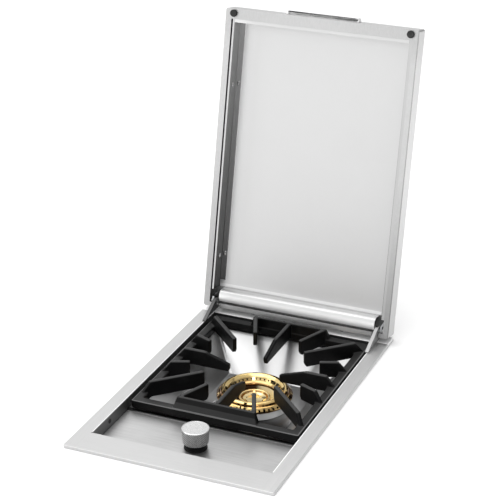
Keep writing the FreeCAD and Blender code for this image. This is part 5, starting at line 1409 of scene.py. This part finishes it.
@dataclass
class Lid:
    """Lid with its polished liner, and the hinge that carries it."""

    open_angle: float = 101.8
    hinge_back: float = 481.8
    hinge_level: float = 13.5
    back_edge: float = 8.2
    rim: float = -9.5
    liner_half: float = 143.5
    screw_setbacks: tuple[float, float] = (82.5, 362.0)
    screw_level: float = 14.0
    skin_front: float = 468.0
    skin_trim: float = 3.5
    liner_front: float = 455.6
    liner_side: float = 146.2
    liner_growth: float = 1.9

    def lid_place(self) -> Matrix:
        """Frame of the open lid, in metres from its hinge axis."""
        hinge = on_flange(0.0, self.hinge_back, self.hinge_level)
        return Matrix.Translation(hinge) @ Matrix.Rotation(math.radians(-self.open_angle), 4, "X")

    def build(self) -> None:
        """Builds and dresses the lid and its hinge."""
        skin = partial(self.trim, reach=self.skin_front, shift=self.skin_trim)
        pull = partial(self.trim, reach=0.0, shift=self.skin_trim)
        liner = partial(self.trim, reach=self.liner_front, shift=-self.liner_growth, side=self.liner_side)
        for row in (("lid_skin", "lid_shell", RIM_STEEL, 0.35, 2, Body.LID, skin),
                    ("liner", "lid_liner", LINER, 0.3, 2, Body.LID, liner),
                    ("pull", "lid_handle", LIT_PULL_STEEL, 0.6, 3, Body.LID, pull),
                    ("bumpers", "lid_bumpers", RUBBER, 0.6, 3, Body.LID),
                    ("ear_left", "hinge_ear_left", GALVANISED, 0.5, 2, Body.LID),
                    ("ear_right", "hinge_ear_right", GALVANISED, 0.5, 2, Body.LID),
                    ("liner_clips", "liner_brackets", GALVANISED, 0.3, 2, Body.LID),
                    ("gusset_left", "hinge_gusset_left", SHADED_STEEL, 0.4),
                    ("gusset_right", "hinge_gusset_right", LID_STEEL, 0.4),
                    ("pins", "hinge_pins", PLATED, 0.6, 3),
                    ("pin_clips", "hinge_clips", PLATED, 0.2, 1)):
            carry(*row)
        self.build_screws()

    def trim(self, piece: Piece, reach: float, shift: float, side: float | None = None) -> None:
        """Moves the front edge of a piece of the lid along the lid, and its right edge with it.

        Args:
            piece: Piece to change.
            reach: Distance from the hinge beyond which its points move.
            shift: Distance towards the hinge.
            side: Distance from the middle beyond which its points also move, or None.
        """
        opened = self.lid_place()
        with Editing(piece) as edit:
            edit.verts(lambda spot: -(opened.inverted() @ spot).y > reach * MM)
            edit.move(*(opened.to_3x3() @ Vector((0.0, shift, 0.0))))
            if side is not None:
                edit.verts(lambda spot: spot.x > side * MM)
                edit.move(-shift, 0.0, 0.0)

    def build_screws(self) -> None:
        """Builds the screws in the liner's side walls."""
        level, places = self.screw_level + self.rim, []
        for side in (-1, 1):
            for setback in self.screw_setbacks:
                spot = Vector((side * self.liner_half, self.back_edge - setback, level)) * MM
                places.append(self.lid_place() @ facing(spot, Vector((-side, 0.0, 0.0))))
        show(Panhead().set_out("liner_fixings", places), Body.LID, PLATED, "liner_screws")


# Studio


@dataclass
class Lamp:
    """Square soft light: its place and aim in the frame, its side in metres and its power in watts."""

    name: str
    spot: tuple[float, float, float]
    aim: tuple[float, float, float]
    size: float
    power: float

    def build(self) -> None:
        """Hangs the light."""
        bpy.ops.object.light_add(type="AREA", location=self.spot)
        light = bpy.context.active_object
        light.name = self.name
        light.data.size = self.size
        light.data.energy = self.power
        light.rotation_euler = (Vector(self.aim) - Vector(self.spot)).to_track_quat("-Z", "Y").to_euler()


@dataclass
class Studio:
    """Camera, pale worktop, soft lights and the room's glow, in metres but for the lens and the lip."""

    camera: tuple[float, float, float] = (0.8853, -2.0762, 1.3434)
    tilt: float = 65.89
    yaw: float = 23.16
    lens: float = 121.63
    sensor: float = 36.0
    lip: float = 5.0
    floor_half: float = 7.0
    hole_half: tuple[float, float] = (0.156, 0.244)
    lamps: tuple[Lamp, ...] = (Lamp("overhead", (-0.5, 0.4, 2.6), (0.0, 0.1, 0.2), 2.5, 32.0),
                               Lamp("front_left", (-2.6, -1.8, 1.4), (0.0, 0.0, 0.25), 2.2, 22.0),
                               Lamp("front", (-1.7, -3.0, 0.75), (0.0, 0.0, 0.3), 1.2, 5.0),
                               Lamp("by_camera", (1.1, -2.1, 1.5), (0.0, 0.0, 0.1), 0.6, 8.0))

    def build(self) -> None:
        """Sets up the studio round the object."""
        self.place_camera()
        self.lay_floor()
        for lamp in self.lamps:
            lamp.build()
        self.light_room()
        bpy.context.scene.view_settings.view_transform = "Standard"

    def place_camera(self) -> None:
        """Puts the camera at the photograph's angle."""
        turn = (math.radians(self.tilt), 0.0, math.radians(self.yaw))
        bpy.ops.object.camera_add(location=self.camera, rotation=turn)
        camera = bpy.context.active_object
        camera.data.lens = self.lens
        camera.data.sensor_width = self.sensor
        bpy.context.scene.camera = camera

    def lay_floor(self) -> None:
        """Lays the worktop under the flange's lip, with its cut-out round the box."""
        level = FLANGE_HIGH.z - self.lip * MM
        across, along = self.hole_half
        bpy.ops.object.select_all(action="DESELECT")
        bpy.ops.mesh.primitive_plane_add(size=2 * self.floor_half, location=(0.0, 0.0, level))
        floor = bpy.context.active_object
        floor.name = "worktop"
        placed(floor)
        with Editing(floor) as edit:
            edit.faces(lambda normal: True)
            bpy.ops.mesh.inset(thickness=self.floor_half - across)
            bpy.ops.transform.resize(value=(1.0, along / across, 1.0), center_override=(0.0, 0.0, level))
            bpy.ops.transform.translate(value=(0.0, (FLANGE_LOW.y + FLANGE_HIGH.y) / 2, 0.0))
            bpy.ops.mesh.delete(type="FACE")
        material = bpy.data.materials.new("worktop")
        graph = Graph(material)
        speckle = graph.noise(30.0, 3.0)
        graph.end({"Base Color": graph.shade(grey(0.96), 0.99 + speckle * 0.02),
                   "Roughness": 0.7 + speckle * 0.1})
        floor.data.materials.append(material)

    def light_room(self) -> None:
        """Gives the room a pale glow, a little darker to the right and low down."""
        world = bpy.data.worlds.new("studio")
        bpy.context.scene.world = world
        graph = Graph(world)
        ray = graph.add("ShaderNodeTexCoord", output="Generated")
        right, level = (graph.add("ShaderNodeSeparateXYZ", {0: ray}, name) for name in "XZ")
        glow = right.spread(-0.2, 0.95, 1.0, 0.42) * level.spread(-0.3, 0.5, 0.9, 1.08)
        back = graph.add("ShaderNodeBackground", {"Color": (1.0, 1.0, 1.0, 1.0), "Strength": glow})
        graph.add("ShaderNodeOutputWorld", {"Surface": back})


def main() -> None:
    """Builds the studio and every sub-assembly, in order."""
    logging.basicConfig(level=logging.INFO, format="%(message)s")
    for part in (Studio(), Housing(), Pan(), Burner(), GasTrain(), Control(), Trivet(), Lid()):
        log.info("Building %s", type(part).__name__)
        part.build()


if __name__ == "__main__":
    main()
